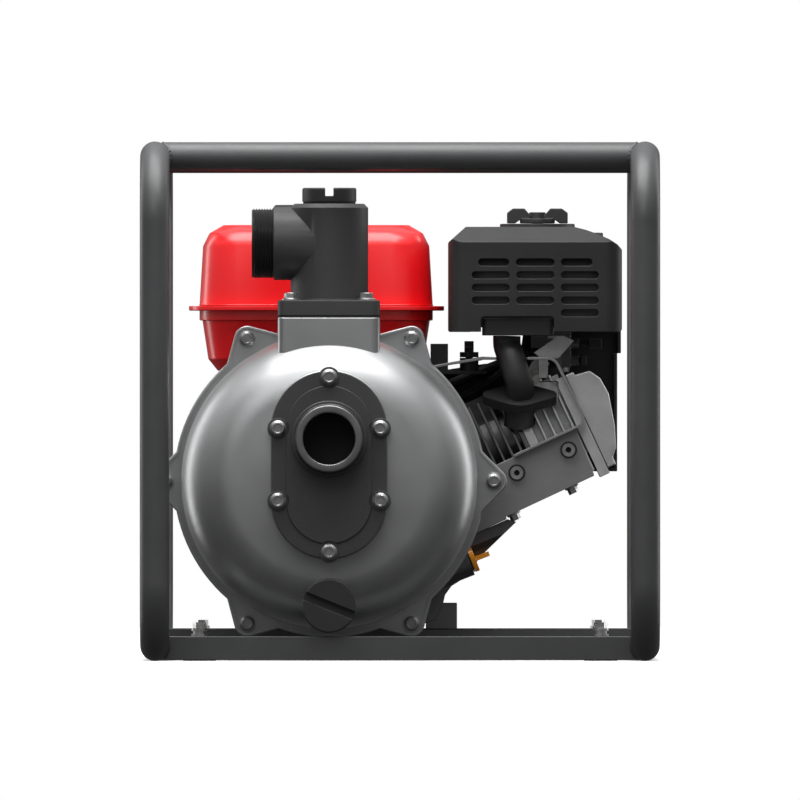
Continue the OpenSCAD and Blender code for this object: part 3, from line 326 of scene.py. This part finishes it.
def part(build, *arguments, **options):
    """A scratch solid for combine, made by one of the shape functions."""
    bm = bmesh.new()
    build(bm, *arguments, **options)
    return solid("scratch", bm)


def bevelled(piece, width, segments=2, angle=32):
    modifier = piece.modifiers.new("bevel", "BEVEL")
    modifier.width = width
    modifier.segments = segments
    modifier.limit_method = "ANGLE"
    modifier.angle_limit = math.radians(angle)
    modifier.use_clamp_overlap = False
    modifier.miter_outer = "MITER_ARC"
    return bake_modifiers(piece)


def shade(piece, angle=33):
    """Smooth shading that keeps flat faces flat and hard edges hard."""
    mesh = piece.data
    mesh.shade_smooth()
    mesh.set_sharp_from_angle(angle=math.radians(angle))
    modifier = piece.modifiers.new("normals", "WEIGHTED_NORMAL")
    modifier.keep_sharp = True
    modifier.weight = 60
    return bake_modifiers(piece)


def finish_piece(piece, material, nodes, angle=33, replaced=True):
    """Gives a piece its shading, material, slot and body, and hides the CAD nodes it stands for."""
    shade(piece, angle)
    piece.data.materials.clear()
    piece.data.materials.append(material)
    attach(piece, BODY_OF[nodes[0]])
    if replaced:
        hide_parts(*nodes)
    return piece


def refined(node, material, width=0.5 * MM, segments=2, angle=32, front=None):
    """Copy of a CAD node with clean faces and rounded edges; front is a lighter material for its faces that face
    -Y, a painted highlight where the front light falls.
    """
    bm = bmesh.new()
    bm.from_mesh(frame["nodes"][node].data)
    bmesh.ops.remove_doubles(bm, verts=bm.verts, dist=0.004 * MM)
    bmesh.ops.dissolve_limit(bm, angle_limit=math.radians(1), verts=bm.verts, edges=bm.edges)
    for layer in list(bm.loops.layers.float_vector):
        bm.loops.layers.float_vector.remove(layer)
    piece = solid(node + "_finished", bm)
    if width:
        bevelled(piece, width, segments, angle)
    finish_piece(piece, material, [node])
    if front:
        # Painted highlight: faces facing -Y get the lighter front material, as if lit from the front.
        piece.data.materials.append(front)
        for face in piece.data.polygons:
            if face.normal.y < -0.9:
                face.material_index = 1
    return piece


def dressed(node, material):
    """A CAD node whose shape is right keeps it and gets a material."""
    mesh = frame["nodes"][node].data
    mesh.materials.clear()
    mesh.materials.append(material)


# ---------- materials ----------

def surface(name, colour, metallic, roughness, spread=0.08, tint=0.12, patch=18, grain=900,
            bump=0.05, stretch=(1, 1, 1), coat=0.0, coat_roughness=0.1, sheen=0.0, specular=0.5):
    """Procedural finish: patches of slightly different colour and roughness, and a fine grain as bump."""
    material = bpy.data.materials.new(name)
    material.use_nodes = True
    tree = material.node_tree
    shader = tree.nodes["Principled BSDF"]
    shader.inputs["Metallic"].default_value = metallic
    shader.inputs["Coat Weight"].default_value = coat
    shader.inputs["Coat Roughness"].default_value = coat_roughness
    shader.inputs["Sheen Weight"].default_value = sheen
    shader.inputs["Specular IOR Level"].default_value = specular
    place = tree.nodes.new("ShaderNodeTexCoord")
    scale = tree.nodes.new("ShaderNodeMapping")
    scale.inputs["Scale"].default_value = stretch
    tree.links.new(place.outputs["Object"], scale.inputs["Vector"])
    patches = noise(tree, scale, patch, 6, 0.65)
    fine = noise(tree, scale, grain, 3, 0.6)
    rough = tree.nodes.new("ShaderNodeMapRange")
    rough.inputs["From Min"].default_value = 0.3
    rough.inputs["From Max"].default_value = 0.7
    rough.inputs["To Min"].default_value = max(0.02, roughness - spread)
    rough.inputs["To Max"].default_value = min(1, roughness + spread)
    tree.links.new(patches.outputs["Fac"], rough.inputs["Value"])
    tree.links.new(rough.outputs["Result"], shader.inputs["Roughness"])
    ramp = tree.nodes.new("ShaderNodeValToRGB")
    ramp.color_ramp.elements[0].position = 0.3
    ramp.color_ramp.elements[1].position = 0.7
    ramp.color_ramp.elements[0].color = [c * (1 - tint) for c in colour] + [1]
    ramp.color_ramp.elements[1].color = [min(1, c * (1 + tint)) for c in colour] + [1]
    mixed = tree.nodes.new("ShaderNodeMix")
    mixed.inputs["Factor"].default_value = 0.35
    tree.links.new(patches.outputs["Fac"], mixed.inputs["A"])
    tree.links.new(fine.outputs["Fac"], mixed.inputs["B"])
    tree.links.new(mixed.outputs["Result"], ramp.inputs["Fac"])
    tree.links.new(ramp.outputs["Color"], shader.inputs["Base Color"])
    if bump:
        relief = tree.nodes.new("ShaderNodeBump")
        relief.inputs["Strength"].default_value = bump
        relief.inputs["Distance"].default_value = 0.3 * MM
        tree.links.new(fine.outputs["Fac"], relief.inputs["Height"])
        tree.links.new(relief.outputs["Normal"], shader.inputs["Normal"])
        if coat:
            tree.links.new(relief.outputs["Normal"], shader.inputs["Coat Normal"])
    return material


def noise(tree, vector, scale, detail, roughness):
    node = tree.nodes.new("ShaderNodeTexNoise")
    node.inputs["Scale"].default_value = scale
    node.inputs["Detail"].default_value = detail
    node.inputs["Roughness"].default_value = roughness
    tree.links.new(vector.outputs["Vector"], node.inputs["Vector"])
    return node


FRAME_PAINT = surface("frame_paint", (0.056, 0.057, 0.059), 0.0, 0.42, bump=0.25, grain=1400, specular=0.6)
CAST_ALUMINIUM = surface("cast_aluminium", (0.47, 0.475, 0.48), 1.0, 0.42, spread=0.03, tint=0.05, bump=0.10,
                         grain=1500)
INNER_CASTING = surface("inner_casting", (0.22, 0.22, 0.22), 1.0, 0.55, bump=0.4, grain=700)
DARK_CASTING = surface("dark_casting", (0.035, 0.035, 0.036), 0.0, 0.5, bump=0.5, grain=1300, specular=0.6)
DARK_THREAD = surface("dark_thread", (0.010, 0.010, 0.010), 0.0, 0.45, bump=0.1, grain=900)
PORT_METAL = surface("port_metal", (0.24, 0.24, 0.245), 1.0, 0.38, bump=0.15, grain=1200)
BLACK_PLUG = surface("black_plug", (0.022, 0.022, 0.023), 0.0, 0.5, bump=0.25, grain=1500)
DULL_ZINC = surface("dull_zinc", (0.36, 0.36, 0.36), 1.0, 0.40, spread=0.08, tint=0.1, patch=120, bump=0.1)
ZINC = surface("zinc", (0.58, 0.58, 0.575), 1.0, 0.32, spread=0.1, tint=0.1, patch=120, bump=0.08, grain=1600)
RUBBER = surface("rubber", (0.014, 0.014, 0.014), 0.0, 0.75, bump=0.3, grain=1600)
BRONZE = surface("bronze", (0.60, 0.40, 0.18), 1.0, 0.42, bump=0.3)
ENGINE_CASTING = surface("engine_casting", (0.055, 0.055, 0.057), 0.3, 0.5, bump=0.45, grain=1100)
# Lighter copy of the engine casting for the fins' front faces: painted highlight, not a different metal.
PAINTED_FIN_HIGHLIGHT = surface("fin_painted_highlight", (0.20, 0.20, 0.205), 0.9, 0.4, bump=0.3, grain=1300)
HEAD_CASTING = surface("head_casting", (0.74, 0.74, 0.75), 1.0, 0.42, bump=0.4, grain=1300)
SHROUD_PAINT = surface("shroud_paint", (0.30, 0.30, 0.305), 0.75, 0.42, spread=0.04, bump=0.2, grain=1400)
STEEL = surface("machined_steel", (0.46, 0.46, 0.47), 1.0, 0.28, bump=0.06, grain=900, stretch=(1, 8, 1))
HOT_PAINT = surface("heat_proof_paint", (0.014, 0.014, 0.014), 0.0, 0.52, bump=0.3, grain=1500)
BLACK_PLASTIC = surface("black_plastic", (0.018, 0.018, 0.019), 0.0, 0.48, bump=0.35, grain=1700)
TANK_RED = surface("tank_red", (0.86, 0.004, 0.008), 0.0, 0.34, spread=0.03, tint=0.03, bump=0.03, grain=700,
                   coat=0.5, coat_roughness=0.22)
RED_PLASTIC = surface("red_plastic", (0.60, 0.010, 0.014), 0.0, 0.36, bump=0.12, grain=1500)
ORANGE = surface("orange_plastic", (1.0, 0.35, 0.01), 0.0, 0.42, bump=0.1, grain=1500)
CERAMIC = surface("ceramic", (0.82, 0.80, 0.74), 0.0, 0.18, bump=0.0)
ROPE_FIBRE = surface("rope_fibre", (0.66, 0.66, 0.62), 0.0, 0.85, bump=0.6, grain=2500, sheen=0.4)
FILTER_FOAM = surface("filter_foam", (0.52, 0.44, 0.26), 0.0, 0.9, bump=0.8, grain=700)
# Near-black for the shroud screws' rings and sockets: painted shade of their recesses.
SOCKET_SHADE_BLACK = surface("socket_shade_black", (0.003, 0.003, 0.003), 0.0, 0.8, bump=0.2)


# ---------- carry frame ----------

TUBE_R = 12.5 * MM
CROSS_R = 12 * MM
WELD_LINE_R = CROSS_R + 0.6 * MM
WELD_REACH = 10.7 * MM
BEND_R = 55 * MM
HOOP_X = cad_high.x - TUBE_R
HOOP_Y = cad_high.y - TUBE_R
HOOP_TOP = cad_high.z - TUBE_R


def hoop_tubes():
    """The two side hoops, each one closed tube with four bends."""
    bm = bmesh.new()
    for side in (-1, 1):
        corners = [(-HOOP_Y, TUBE_R), (HOOP_Y, TUBE_R), (HOOP_Y, HOOP_TOP), (-HOOP_Y, HOOP_TOP)]
        outline = []
        for (y, z), (dy, dz) in zip(corners, ((1, 1), (-1, 1), (-1, -1), (1, -1))):
            start = math.atan2(-dz, -dy) - math.pi / 4
            for k in range(21):
                a = start + math.pi / 2 * k / 20
                outline.append(Vector((side * HOOP_X, y + dy * BEND_R + BEND_R * math.cos(a),
                                       z + dz * BEND_R + BEND_R * math.sin(a))))
        tube(bm, outline, TUBE_R, 48, closed=True)
    return finish_piece(solid("hoop_tubes", bm), FRAME_PAINT, ["frame_hoops"])


def weld_bead(bm, around, radius=1.5 * MM):
    """Bead of weld along a closed path, with the ripples of its runs."""
    count = len(around)
    tube(bm, around, lambda share: radius * (1 + 0.14 * math.cos(share * count * 1.6)), 10, closed=True)


def cross_bars():
    """The two tubes between the hoops' tops, with a weld round each end."""
    bm = bmesh.new()
    cross_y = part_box("cross_tubes")[1].y - CROSS_R
    for side in (-1, 1):
        y = side * cross_y
        place = facing((0, y, HOOP_TOP), (1, 0, 0))
        disc(bm, CROSS_R, -HOOP_X + 6 * MM, HOOP_X - 6 * MM, place, 0.5 * MM, 48)
        for end in (-1, 1):
            around = []
            for k in range(96):
                a = 2 * math.pi * k / 96
                up = max(-WELD_REACH, min(WELD_REACH, WELD_LINE_R * math.sin(a)))
                reach = math.sqrt(TUBE_R ** 2 - up ** 2)
                around.append(Vector((end * (HOOP_X - reach - 0.4 * MM), y + WELD_LINE_R * math.cos(a),
                                      HOOP_TOP + up)))
            weld_bead(bm, around)
    return finish_piece(solid("cross_bars", bm), FRAME_PAINT, ["cross_tubes"])


hoop_tubes()
cross_bars()
refined("base_rails", FRAME_PAINT, 0.7 * MM)
refined("rubber_feet", RUBBER, 0.6 * MM)


# ---------- pump casing ----------

RING_R = 132.5 * MM
BOWL_R = 126 * MM
EAR_PITCH = 139.8 * MM
EAR_R = 11 * MM
EAR_REACH = math.radians(11)
RING_FRONT = -75 * MM
RING_BACK = -66 * MM
BOWL_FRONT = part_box("pump_casing")[0].y
EDGE_R = 46 * MM
CROWN = 4.0 * MM
WALL = 6 * MM
BOSS_SIZE = (86.7 * MM, 82 * MM, 8 * MM)
DRAIN_BOSS_R = 22.2 * MM
PLUG_HOLE_R = 19.2 * MM
SUCTION_R = 22 * MM
OUTLET_R = 23 * MM
BOSS = middle("outlet_bolts")
DRAIN = middle("drain_plug")
FROM_FRONT = facing((CASING.x, 0, 0), FRONT)
CASING_PLACE = facing(CASING, FRONT)


def ear_outline():
    """Clamping ring with six round ears, whose straight sides meet it, about the casing's centre."""
    points = []
    for ear in range(6):
        a = math.pi / 3 * ear
        out = Matrix.Rotation(a, 2)
        for k in range(9):
            t = math.pi / 4 * (k / 4 - 1)
            points.append(out @ Vector((EAR_PITCH + EAR_R * math.cos(t), EAR_R * math.sin(t))))
        for k in range(13):
            b = a + EAR_REACH + (math.pi / 3 - 2 * EAR_REACH) * k / 12
            points.append(Vector((RING_R * math.cos(b), RING_R * math.sin(b))))
    return points


def round_ring(count, radius, turn=0.0):
    """Places evenly spread on a circle."""
    return [Vector((radius * math.cos(a), radius * math.sin(a)))
            for a in (turn + 2 * math.pi * k / count for k in range(count))]


def bowl_profile(shrink=0.0):
    """Radius and distance forward of the casing's bowl, from its centre to its rim."""
    flat = BOWL_R - 2 * MM - EDGE_R
    start = -BOWL_FRONT - shrink - CROWN
    points = [(flat * k / 8, start + CROWN * (1 - (k / 8) ** 2)) for k in range(9)]
    for k in range(1, 17):
        a = math.pi / 2 * (1 - k / 16)
        points.append((flat + (EDGE_R - shrink) * math.cos(a),
                       start - EDGE_R + shrink + (EDGE_R - shrink) * math.sin(a)))
    return points


def clamping_ring():
    """Ring with ears, a thin raised rim all round, and a raised seat for each bolt."""
    ears = part(prism, ear_outline(), -RING_BACK, -RING_FRONT, CASING_PLACE, edge=1.2 * MM)
    combine(ears, [part(prism, inset(ear_outline(), 2.6 * MM), -RING_FRONT - 1.5 * MM, -RING_FRONT + 2 * MM,
                        CASING_PLACE, edge=0.2 * MM)], "DIFFERENCE")
    seats = [part(disc, 7.6 * MM, -RING_BACK + 1 * MM, -RING_FRONT, CASING_PLACE @ Matrix.Translation((*p, 0)),
                  edge=0.4 * MM, steps=32) for p in round_ring(6, EAR_PITCH)]
    return combine(ears, seats, "UNION")


def casing():
    """Bowl with its clamping ring, outlet boss, cover seat and drain boss, hollow inside."""
    outer = bowl_profile() + [(BOWL_R, 84 * MM), (BOWL_R, -RING_BACK), (0, -RING_BACK)]
    shell = part(lathe, outer, CASING_PLACE, 160)
    boss_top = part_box("pump_casing")[1].z
    combine(shell, [
        clamping_ring(),
        part(prism, rectangle(*BOSS_SIZE), 215 * MM, boss_top,
             Matrix.Translation((BOSS.x, BOSS.y, 0)), edge=1.6 * MM),
        part(prism, oblong(49.6 * MM, ARC_LOW, ARC_HIGH), 150 * MM, -BOWL_FRONT, FROM_FRONT, edge=1.6 * MM),
        part(disc, DRAIN_BOSS_R, 120 * MM, 174 * MM, facing((CASING.x, 0, DRAIN.z), FRONT), edge=0.8 * MM),
    ], "UNION")
    inner_r = BOWL_R - WALL
    hollow = bowl_profile(WALL) + [(inner_r, 84 * MM), (inner_r, 60 * MM), (0, 60 * MM)]
    combine(shell, [
        part(lathe, hollow, CASING_PLACE, 120),
        part(disc, SUCTION_R, 130 * MM, 190 * MM, facing((PORT.x, 0, PORT.z), FRONT)),
        part(disc, PLUG_HOLE_R, 130 * MM, 190 * MM, facing((CASING.x, 0, DRAIN.z), FRONT)),
        part(disc, OUTLET_R, 240 * MM, 300 * MM, Matrix.Translation((CASING.x, BOSS.y, 0))),
    ], "DIFFERENCE")
    shell.name = "casing_shell"
    return finish_piece(shell, CAST_ALUMINIUM, ["pump_casing"])


# ---------- suction cover, outlet tower and their bolts ----------

ARC_LOW = 135.5 * MM
ARC_HIGH = 196.9 * MM
COVER_HALF = 48.8 * MM
PAD_HALF = 36.3 * MM
COVER_REACH = 43.4 * MM
COVER_FRONT = 190 * MM
COVER_BACK = 178 * MM
COVER_BOLTS = [(0, ARC_HIGH + COVER_REACH), (0, ARC_LOW - COVER_REACH)] + [
    (side * COVER_REACH, height) for side in (-1, 1) for height in (ARC_HIGH, ARC_LOW)]
THREAD_R = MOUNTS["suction_port"]["dims"]["r_mm"] * MM
THREAD_PITCH = 2.309 * MM
THREAD_DEPTH = 1.35 * MM
LIP_R = 28.3 * MM
AT_PORT = facing((PORT.x, 0, PORT.z), FRONT)
TOWER_R = 33 * MM
TOWER_BEVEL = 3.5 * MM
TOWER_BORE_R = 26 * MM
BRANCH_R = 31 * MM
FLANGE_LOW = 292.4 * MM
FLANGE_HIGH = 305.6 * MM
TOWER_BOLTS = [(BOSS.x + x * 32 * MM, BOSS.y + y * 30 * MM) for x in (-1, 1) for y in (-1, 1)]


def suction_cover():
    """Oblong plate with a raised middle, a seat round each bolt, and the port's collar."""
    plate = part(prism, oblong(COVER_HALF, ARC_LOW, ARC_HIGH), COVER_BACK, COVER_FRONT, FROM_FRONT,
                 edge=0.9 * MM)
    middle_pad = part(prism, oblong(PAD_HALF, ARC_LOW, ARC_HIGH), COVER_FRONT - 3 * MM, COVER_FRONT + 2 * MM,
                      FROM_FRONT, edge=0.7 * MM)
    notches = [part(disc, 9.6 * MM, COVER_FRONT - 0.1 * MM, COVER_FRONT + 5 * MM,
                    FROM_FRONT @ Matrix.Translation((*p, 0)), edge=0.1 * MM, steps=40) for p in COVER_BOLTS]
    combine(middle_pad, notches, "DIFFERENCE")
    seats = [part(disc, 8.9 * MM, COVER_BACK, COVER_FRONT + 0.5 * MM, FROM_FRONT @ Matrix.Translation((*p, 0)),
                  edge=0.8 * MM, steps=40) for p in COVER_BOLTS]
    collar = part(disc, 32.2 * MM, COVER_FRONT - 2 * MM, COVER_FRONT + 8 * MM, AT_PORT, edge=1.6 * MM)
    combine(plate, [middle_pad, collar] + seats, "UNION")
    combine(plate, [part(disc, SUCTION_R, 170 * MM, 230 * MM, AT_PORT)], "DIFFERENCE")
    plate.name = "suction_cover_plate"
    finish_piece(plate, DARK_CASTING, ["suction_cover"])
    snout = part(threaded, THREAD_R, THREAD_DEPTH, THREAD_PITCH, COVER_FRONT + 4 * MM, 224.2 * MM, AT_PORT)
    combine(snout, [part(disc, 25 * MM, 190 * MM, 230 * MM, AT_PORT)], "DIFFERENCE")
    snout.name = "suction_thread"
    finish_piece(snout, DARK_THREAD, ["suction_cover"], replaced=False)
    lip = part(sleeve, LIP_R, SUCTION_R, 186 * MM, 225 * MM, AT_PORT, edge=1.5 * MM)
    lip.name = "suction_lip"
    finish_piece(lip, PORT_METAL, ["suction_cover"], replaced=False)


def outlet_tower():
    """Flanged column with a bevelled top and a side branch."""
    upright = Matrix.Translation((CASING.x, BOSS.y, 0))
    aside = facing((0, BOSS.y, BRANCH.z), (-1, 0, 0))
    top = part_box("outlet_tower")[1].z
    profile = soften([(0, FLANGE_LOW), (TOWER_R, FLANGE_LOW), (TOWER_R, top - TOWER_BEVEL),
                      (TOWER_R - TOWER_BEVEL, top), (0, top)], [0, 0, 0.8 * MM, 0.6 * MM, 0], closed=False)
    tower = part(lathe, profile, upright, 96)
    combine(tower, [
        part(prism, rectangle(*BOSS_SIZE), FLANGE_LOW, FLANGE_HIGH,
             Matrix.Translation((BOSS.x, BOSS.y, 0)), edge=0.9 * MM),
        part(disc, TOWER_R + 1.2 * MM, FLANGE_HIGH - 1 * MM, FLANGE_HIGH + 1.2 * MM, upright, edge=1.0 * MM),
        part(disc, BRANCH_R, 60 * MM, 107.6 * MM, aside, edge=1.4 * MM),
    ], "UNION")
    combine(tower, [
        part(disc, TOWER_BORE_R, 280 * MM, 372 * MM, upright),
        part(disc, PLUG_HOLE_R, 360 * MM, 400 * MM, upright),
        part(disc, OUTLET_R, 60 * MM, 140 * MM, aside),
    ], "DIFFERENCE")
    tower.name = "tower_casting"
    finish_piece(tower, DARK_CASTING, ["outlet_tower"])
    snout = part(threaded, THREAD_R, THREAD_DEPTH, THREAD_PITCH, 105 * MM, -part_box("outlet_tower")[0].x, aside)
    combine(snout, [part(disc, OUTLET_R, 90 * MM, 140 * MM, aside)], "DIFFERENCE")
    snout.name = "outlet_thread"
    finish_piece(snout, DARK_THREAD, ["outlet_tower"], replaced=False)


def bolt_set(name, node, places, thread, flange, across, material):
    """Flange bolts at the given places, each place a matrix whose +Z leaves the seat."""
    bm = bmesh.new()
    for k, place in enumerate(places):
        flange_bolt(bm, place @ Matrix.Rotation(0.35 + 0.9 * k, 4, "Z"), thread, flange, across)
    return finish_piece(solid(name, bm), material, [node])


def all_bolts():
    """The flange bolts of the clamping ring, the suction cover and the tower."""
    ring_front = Matrix.Translation((0, 0, -RING_FRONT))
    bolt_set("ring_bolts", "casing_bolts",
             [CASING_PLACE @ Matrix.Translation((*p, 0)) @ ring_front for p in round_ring(6, EAR_PITCH)],
             6 * MM, 13 * MM, 9.6 * MM, DULL_ZINC)
    bolt_set("cover_bolts", "suction_cover_bolts",
             [FROM_FRONT @ Matrix.Translation((*p, COVER_FRONT + 0.5 * MM)) for p in COVER_BOLTS],
             6 * MM, 14 * MM, 10.4 * MM, DULL_ZINC)
    bolt_set("tower_bolts", "outlet_bolts", [Matrix.Translation((*p, FLANGE_HIGH)) for p in TOWER_BOLTS],
             8 * MM, 16 * MM, 10.5 * MM, ZINC)


# ---------- engine details ----------

SHROUD_SCREWS = [(99.5 * MM, 159 * MM), (143.5 * MM, 178.5 * MM)]
SHROUD_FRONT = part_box("cylinder_shroud")[0].y
SOCKET_FLOOR = 22.5 * MM


def painted_socket_shade():
    """Black rings round the heads of the shroud's socket screws, as painted shade of the recesses round them, and
    black discs as painted shade in their sockets.
    """
    bm = bmesh.new()
    for x, z in SHROUD_SCREWS:
        place = facing((x, 0, z), FRONT)
        # Black ring as painted shade of the recess round each head, black disc as painted shade in its socket.
        sleeve(bm, 7.3 * MM, 5.7 * MM, -SHROUD_FRONT - 0.3 * MM, -SHROUD_FRONT + 0.5 * MM, place, 0.2 * MM, 40)
        disc(bm, 2.4 * MM, SOCKET_FLOOR - 0.3 * MM, SOCKET_FLOOR + 0.3 * MM, place, 0.1 * MM, 24)
    piece = solid("painted_socket_shade", bm)
    return finish_piece(piece, SOCKET_SHADE_BLACK, ["engine_screws"], replaced=False)


# ---------- starter rope ----------

ROPE_R = 2 * MM
ROPE_AXIS = Vector(JOINTS["starter_pull"]["axis"])
REEL = Vector(JOINTS["reel_turn"]["pos_m"])
ROPE_REACH = 54 * MM
ROPE_START = REEL + ROPE_REACH * Vector((ROPE_AXIS.z, 0, -ROPE_AXIS.x))
ROPE_FREE = 96 * MM
ROPE_LAY = 11 * MM


def starter_rope():
    """Three-strand rope from the reel towards the grip."""
    bm = bmesh.new()
    place = facing(ROPE_START, ROPE_AXIS)
    rings = []
    for row in range(161):
        along = ROPE_FREE * row / 160
        outline = []
        for k in range(24):
            turn = 2 * math.pi * k / 24
            strand = abs(math.cos(1.5 * (turn - 2 * math.pi * along / ROPE_LAY)))
            size = ROPE_R * (0.74 + 0.26 * math.sqrt(strand))
            outline.append((size * math.cos(turn), size * math.sin(turn)))
        rings.append(ring(bm, outline, along, place))
    skin(bm, rings)
    piece = solid("rope_strands", bm)
    shade(piece, 60)
    piece.data.materials.append(ROPE_FIBRE)
    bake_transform(piece)
    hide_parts("starter_rope")


casing()
suction_cover()
outlet_tower()
all_bolts()
painted_socket_shade()
starter_rope()
refined("pump_bracket", CAST_ALUMINIUM, 0.6 * MM)
refined("priming_plug", BLACK_PLUG, 0.6 * MM)
refined("drain_plug", BLACK_PLUG, 0.6 * MM)
refined("fuel_tank", TANK_RED, 0.6 * MM)
refined("muffler_shield", HOT_PAINT, 0.6 * MM, 3)
refined("muffler_body", HOT_PAINT, 0.6 * MM)
refined("exhaust_pipe", HOT_PAINT, 0)
# The block's front faces get the lighter fin material as painted highlight.
refined("engine_block", ENGINE_CASTING, 0.4 * MM, front=PAINTED_FIN_HIGHLIGHT)
refined("crankcase_cover", ENGINE_CASTING, 0.6 * MM)
# The head's front faces get the lighter head casting as painted highlight.
refined("cylinder_head", ENGINE_CASTING, 0.4 * MM, front=HEAD_CASTING)
refined("valve_cover", HEAD_CASTING, 1.2 * MM, 3)
refined("muffler_stay", ZINC, 0.4 * MM)
refined("cylinder_shroud", SHROUD_PAINT, 0.4 * MM)
refined("blower_housing", BLACK_PLASTIC, 0.6 * MM)
refined("recoil_cover", RED_PLASTIC, 0.6 * MM)
refined("starter_handle", BLACK_PLASTIC, 1.0 * MM)
refined("engine_switch", RED_PLASTIC, 0.6 * MM)
refined("fuel_cap", BLACK_PLASTIC, 0.6 * MM)
refined("carburetor", INNER_CASTING, 0.6 * MM)
refined("air_cleaner_base", BLACK_PLASTIC, 0.6 * MM)
refined("air_cleaner_cover", BLACK_PLASTIC, 1.0 * MM)
refined("air_cleaner_knob", BLACK_PLASTIC, 0.8 * MM)
refined("control_plate", HOT_PAINT, 0.4 * MM)
refined("throttle_lever", BLACK_PLASTIC, 0.4 * MM)
refined("choke_lever", BLACK_PLASTIC, 0.4 * MM)
refined("fuel_valve_lever", BLACK_PLASTIC, 0.4 * MM)
refined("dipstick", ORANGE, 0.4 * MM)

for node_name, node_material in (
        ("pump_gaskets", RUBBER), ("volute", INNER_CASTING), ("impeller", BRONZE),
        ("mechanical_seal", STEEL), ("check_valve_flap", RUBBER),
        ("priming_plug_seal", RUBBER), ("drain_plug_seal", RUBBER),
        ("cylinder_liner", INNER_CASTING), ("crankshaft", STEEL), ("crank_bearings", STEEL),
        ("engine_screws", ZINC), ("spark_plug", CERAMIC), ("ignition_lead", RUBBER),
        ("ignition_coil", BLACK_PLASTIC), ("flywheel", INNER_CASTING), ("starter_cup", STEEL),
        ("recoil_reel", BLACK_PLASTIC), ("fuel_cap_seal", RUBBER),
        ("fuel_hose", RUBBER), ("air_filter_element", FILTER_FOAM), ("dipstick_seal", RUBBER),
        ("frame_bolts", ZINC)):
    dressed(node_name, node_material)


# ---------- studio ----------

CAMERA_LENS = 1500
CAMERA_SENSOR = 36
VIEW_WIDTH = 680 * MM
VIEW_HEIGHT = 221 * MM
FLOOR_GLOW = 0.35


def camera():
    """Far camera with a long lens, square to the front."""
    data = bpy.data.cameras.new("camera")
    data.sensor_width = CAMERA_SENSOR
    data.lens = CAMERA_LENS
    data.clip_end = 200
    distance = VIEW_WIDTH * CAMERA_LENS / CAMERA_SENSOR
    eye = bpy.data.objects.new("camera", data)
    eye.location = (0, RING_FRONT - distance, VIEW_HEIGHT)
    eye.rotation_euler = (math.pi / 2, 0, 0)
    bpy.context.scene.collection.objects.link(eye)
    bpy.context.scene.camera = eye


def softbox(name, place, target, width, height, power, colour=(1, 1, 1)):
    data = bpy.data.lights.new(name, "AREA")
    data.shape = "RECTANGLE"
    data.size = width
    data.size_y = height
    data.energy = power
    data.color = colour
    light = bpy.data.objects.new(name, data)
    light.location = place
    light.rotation_euler = (Vector(target) - Vector(place)).to_track_quat("-Z", "Y").to_euler()
    bpy.context.scene.collection.objects.link(light)
    return light


def studio_world():
    """Bright upper half, dim lower half; reflections see a darker room than the eye does."""
    world = bpy.data.worlds.new("studio")
    world.use_nodes = True
    tree = world.node_tree
    tree.nodes.clear()
    out = tree.nodes.new("ShaderNodeOutputWorld")
    place = tree.nodes.new("ShaderNodeTexCoord")
    axes = tree.nodes.new("ShaderNodeSeparateXYZ")
    tree.links.new(place.outputs["Generated"], axes.inputs["Vector"])

    def sky(stops):
        lift = tree.nodes.new("ShaderNodeMapRange")
        lift.inputs["From Min"].default_value = -1
        tree.links.new(axes.outputs["Z"], lift.inputs["Value"])
        ramp = tree.nodes.new("ShaderNodeValToRGB")
        while len(ramp.color_ramp.elements) < len(stops):
            ramp.color_ramp.elements.new(0.5)
        for element, (position, level) in zip(ramp.color_ramp.elements, stops):
            element.position = position
            element.color = (level, level, level, 1)
        tree.links.new(lift.outputs["Result"], ramp.inputs["Fac"])
        background = tree.nodes.new("ShaderNodeBackground")
        tree.links.new(ramp.outputs["Color"], background.inputs["Color"])
        return background

    seen = tree.nodes.new("ShaderNodeBackground")
    seen.inputs["Color"].default_value = (1, 1, 1, 1)
    diffuse = sky([(0.0, 0.10), (0.45, 0.16), (0.55, 0.62), (1.0, 1.0)])
    glossy = sky([(0.0, 0.04), (0.40, 0.07), (0.70, 0.34), (0.92, 1.0)])
    rays = tree.nodes.new("ShaderNodeLightPath")
    inner = tree.nodes.new("ShaderNodeMixShader")
    outer = tree.nodes.new("ShaderNodeMixShader")
    tree.links.new(rays.outputs["Is Glossy Ray"], inner.inputs[0])
    tree.links.new(diffuse.outputs[0], inner.inputs[1])
    tree.links.new(glossy.outputs[0], inner.inputs[2])
    tree.links.new(rays.outputs["Is Camera Ray"], outer.inputs[0])
    tree.links.new(inner.outputs[0], outer.inputs[1])
    tree.links.new(seen.outputs[0], outer.inputs[2])
    tree.links.new(outer.outputs[0], out.inputs["Surface"])
    bpy.context.scene.world = world


def floor():
    """Pale floor, a wide round sheet that only the eye sees, so that it doesn't light the undersides."""
    bm = bmesh.new()
    lathe(bm, [(0, 0), (2, 0), (4, 0)], Matrix(), 64)
    sheet = solid("floor", bm)
    material = bpy.data.materials.new("floor")
    material.use_nodes = True
    shader = material.node_tree.nodes["Principled BSDF"]
    shader.inputs["Base Color"].default_value = (0.93, 0.93, 0.93, 1)
    shader.inputs["Roughness"].default_value = 0.9
    shader.inputs["Specular IOR Level"].default_value = 0.1
    shader.inputs["Emission Color"].default_value = (1, 1, 1, 1)
    shader.inputs["Emission Strength"].default_value = FLOOR_GLOW
    sheet.data.materials.append(material)
    sheet.visible_glossy = False
    sheet.visible_diffuse = False


camera()
studio_world()
floor()
softbox("overhead", (-0.1, -0.35, 1.25), (0, -0.05, 0.25), 1.1, 0.8, 16)
softbox("left_strip", (-1.3, 0.65, 0.35), (0, -0.05, 0.2), 0.30, 1.4, 5)
softbox("right_strip", (1.3, 0.65, 0.45), (0, -0.05, 0.2), 0.30, 1.4, 5)
softbox("front_fill", (-0.5, -2.2, 1.5), (0, 0, 0.25), 1.4, 1.0, 7)
bpy.context.scene.view_settings.view_transform = "Standard"
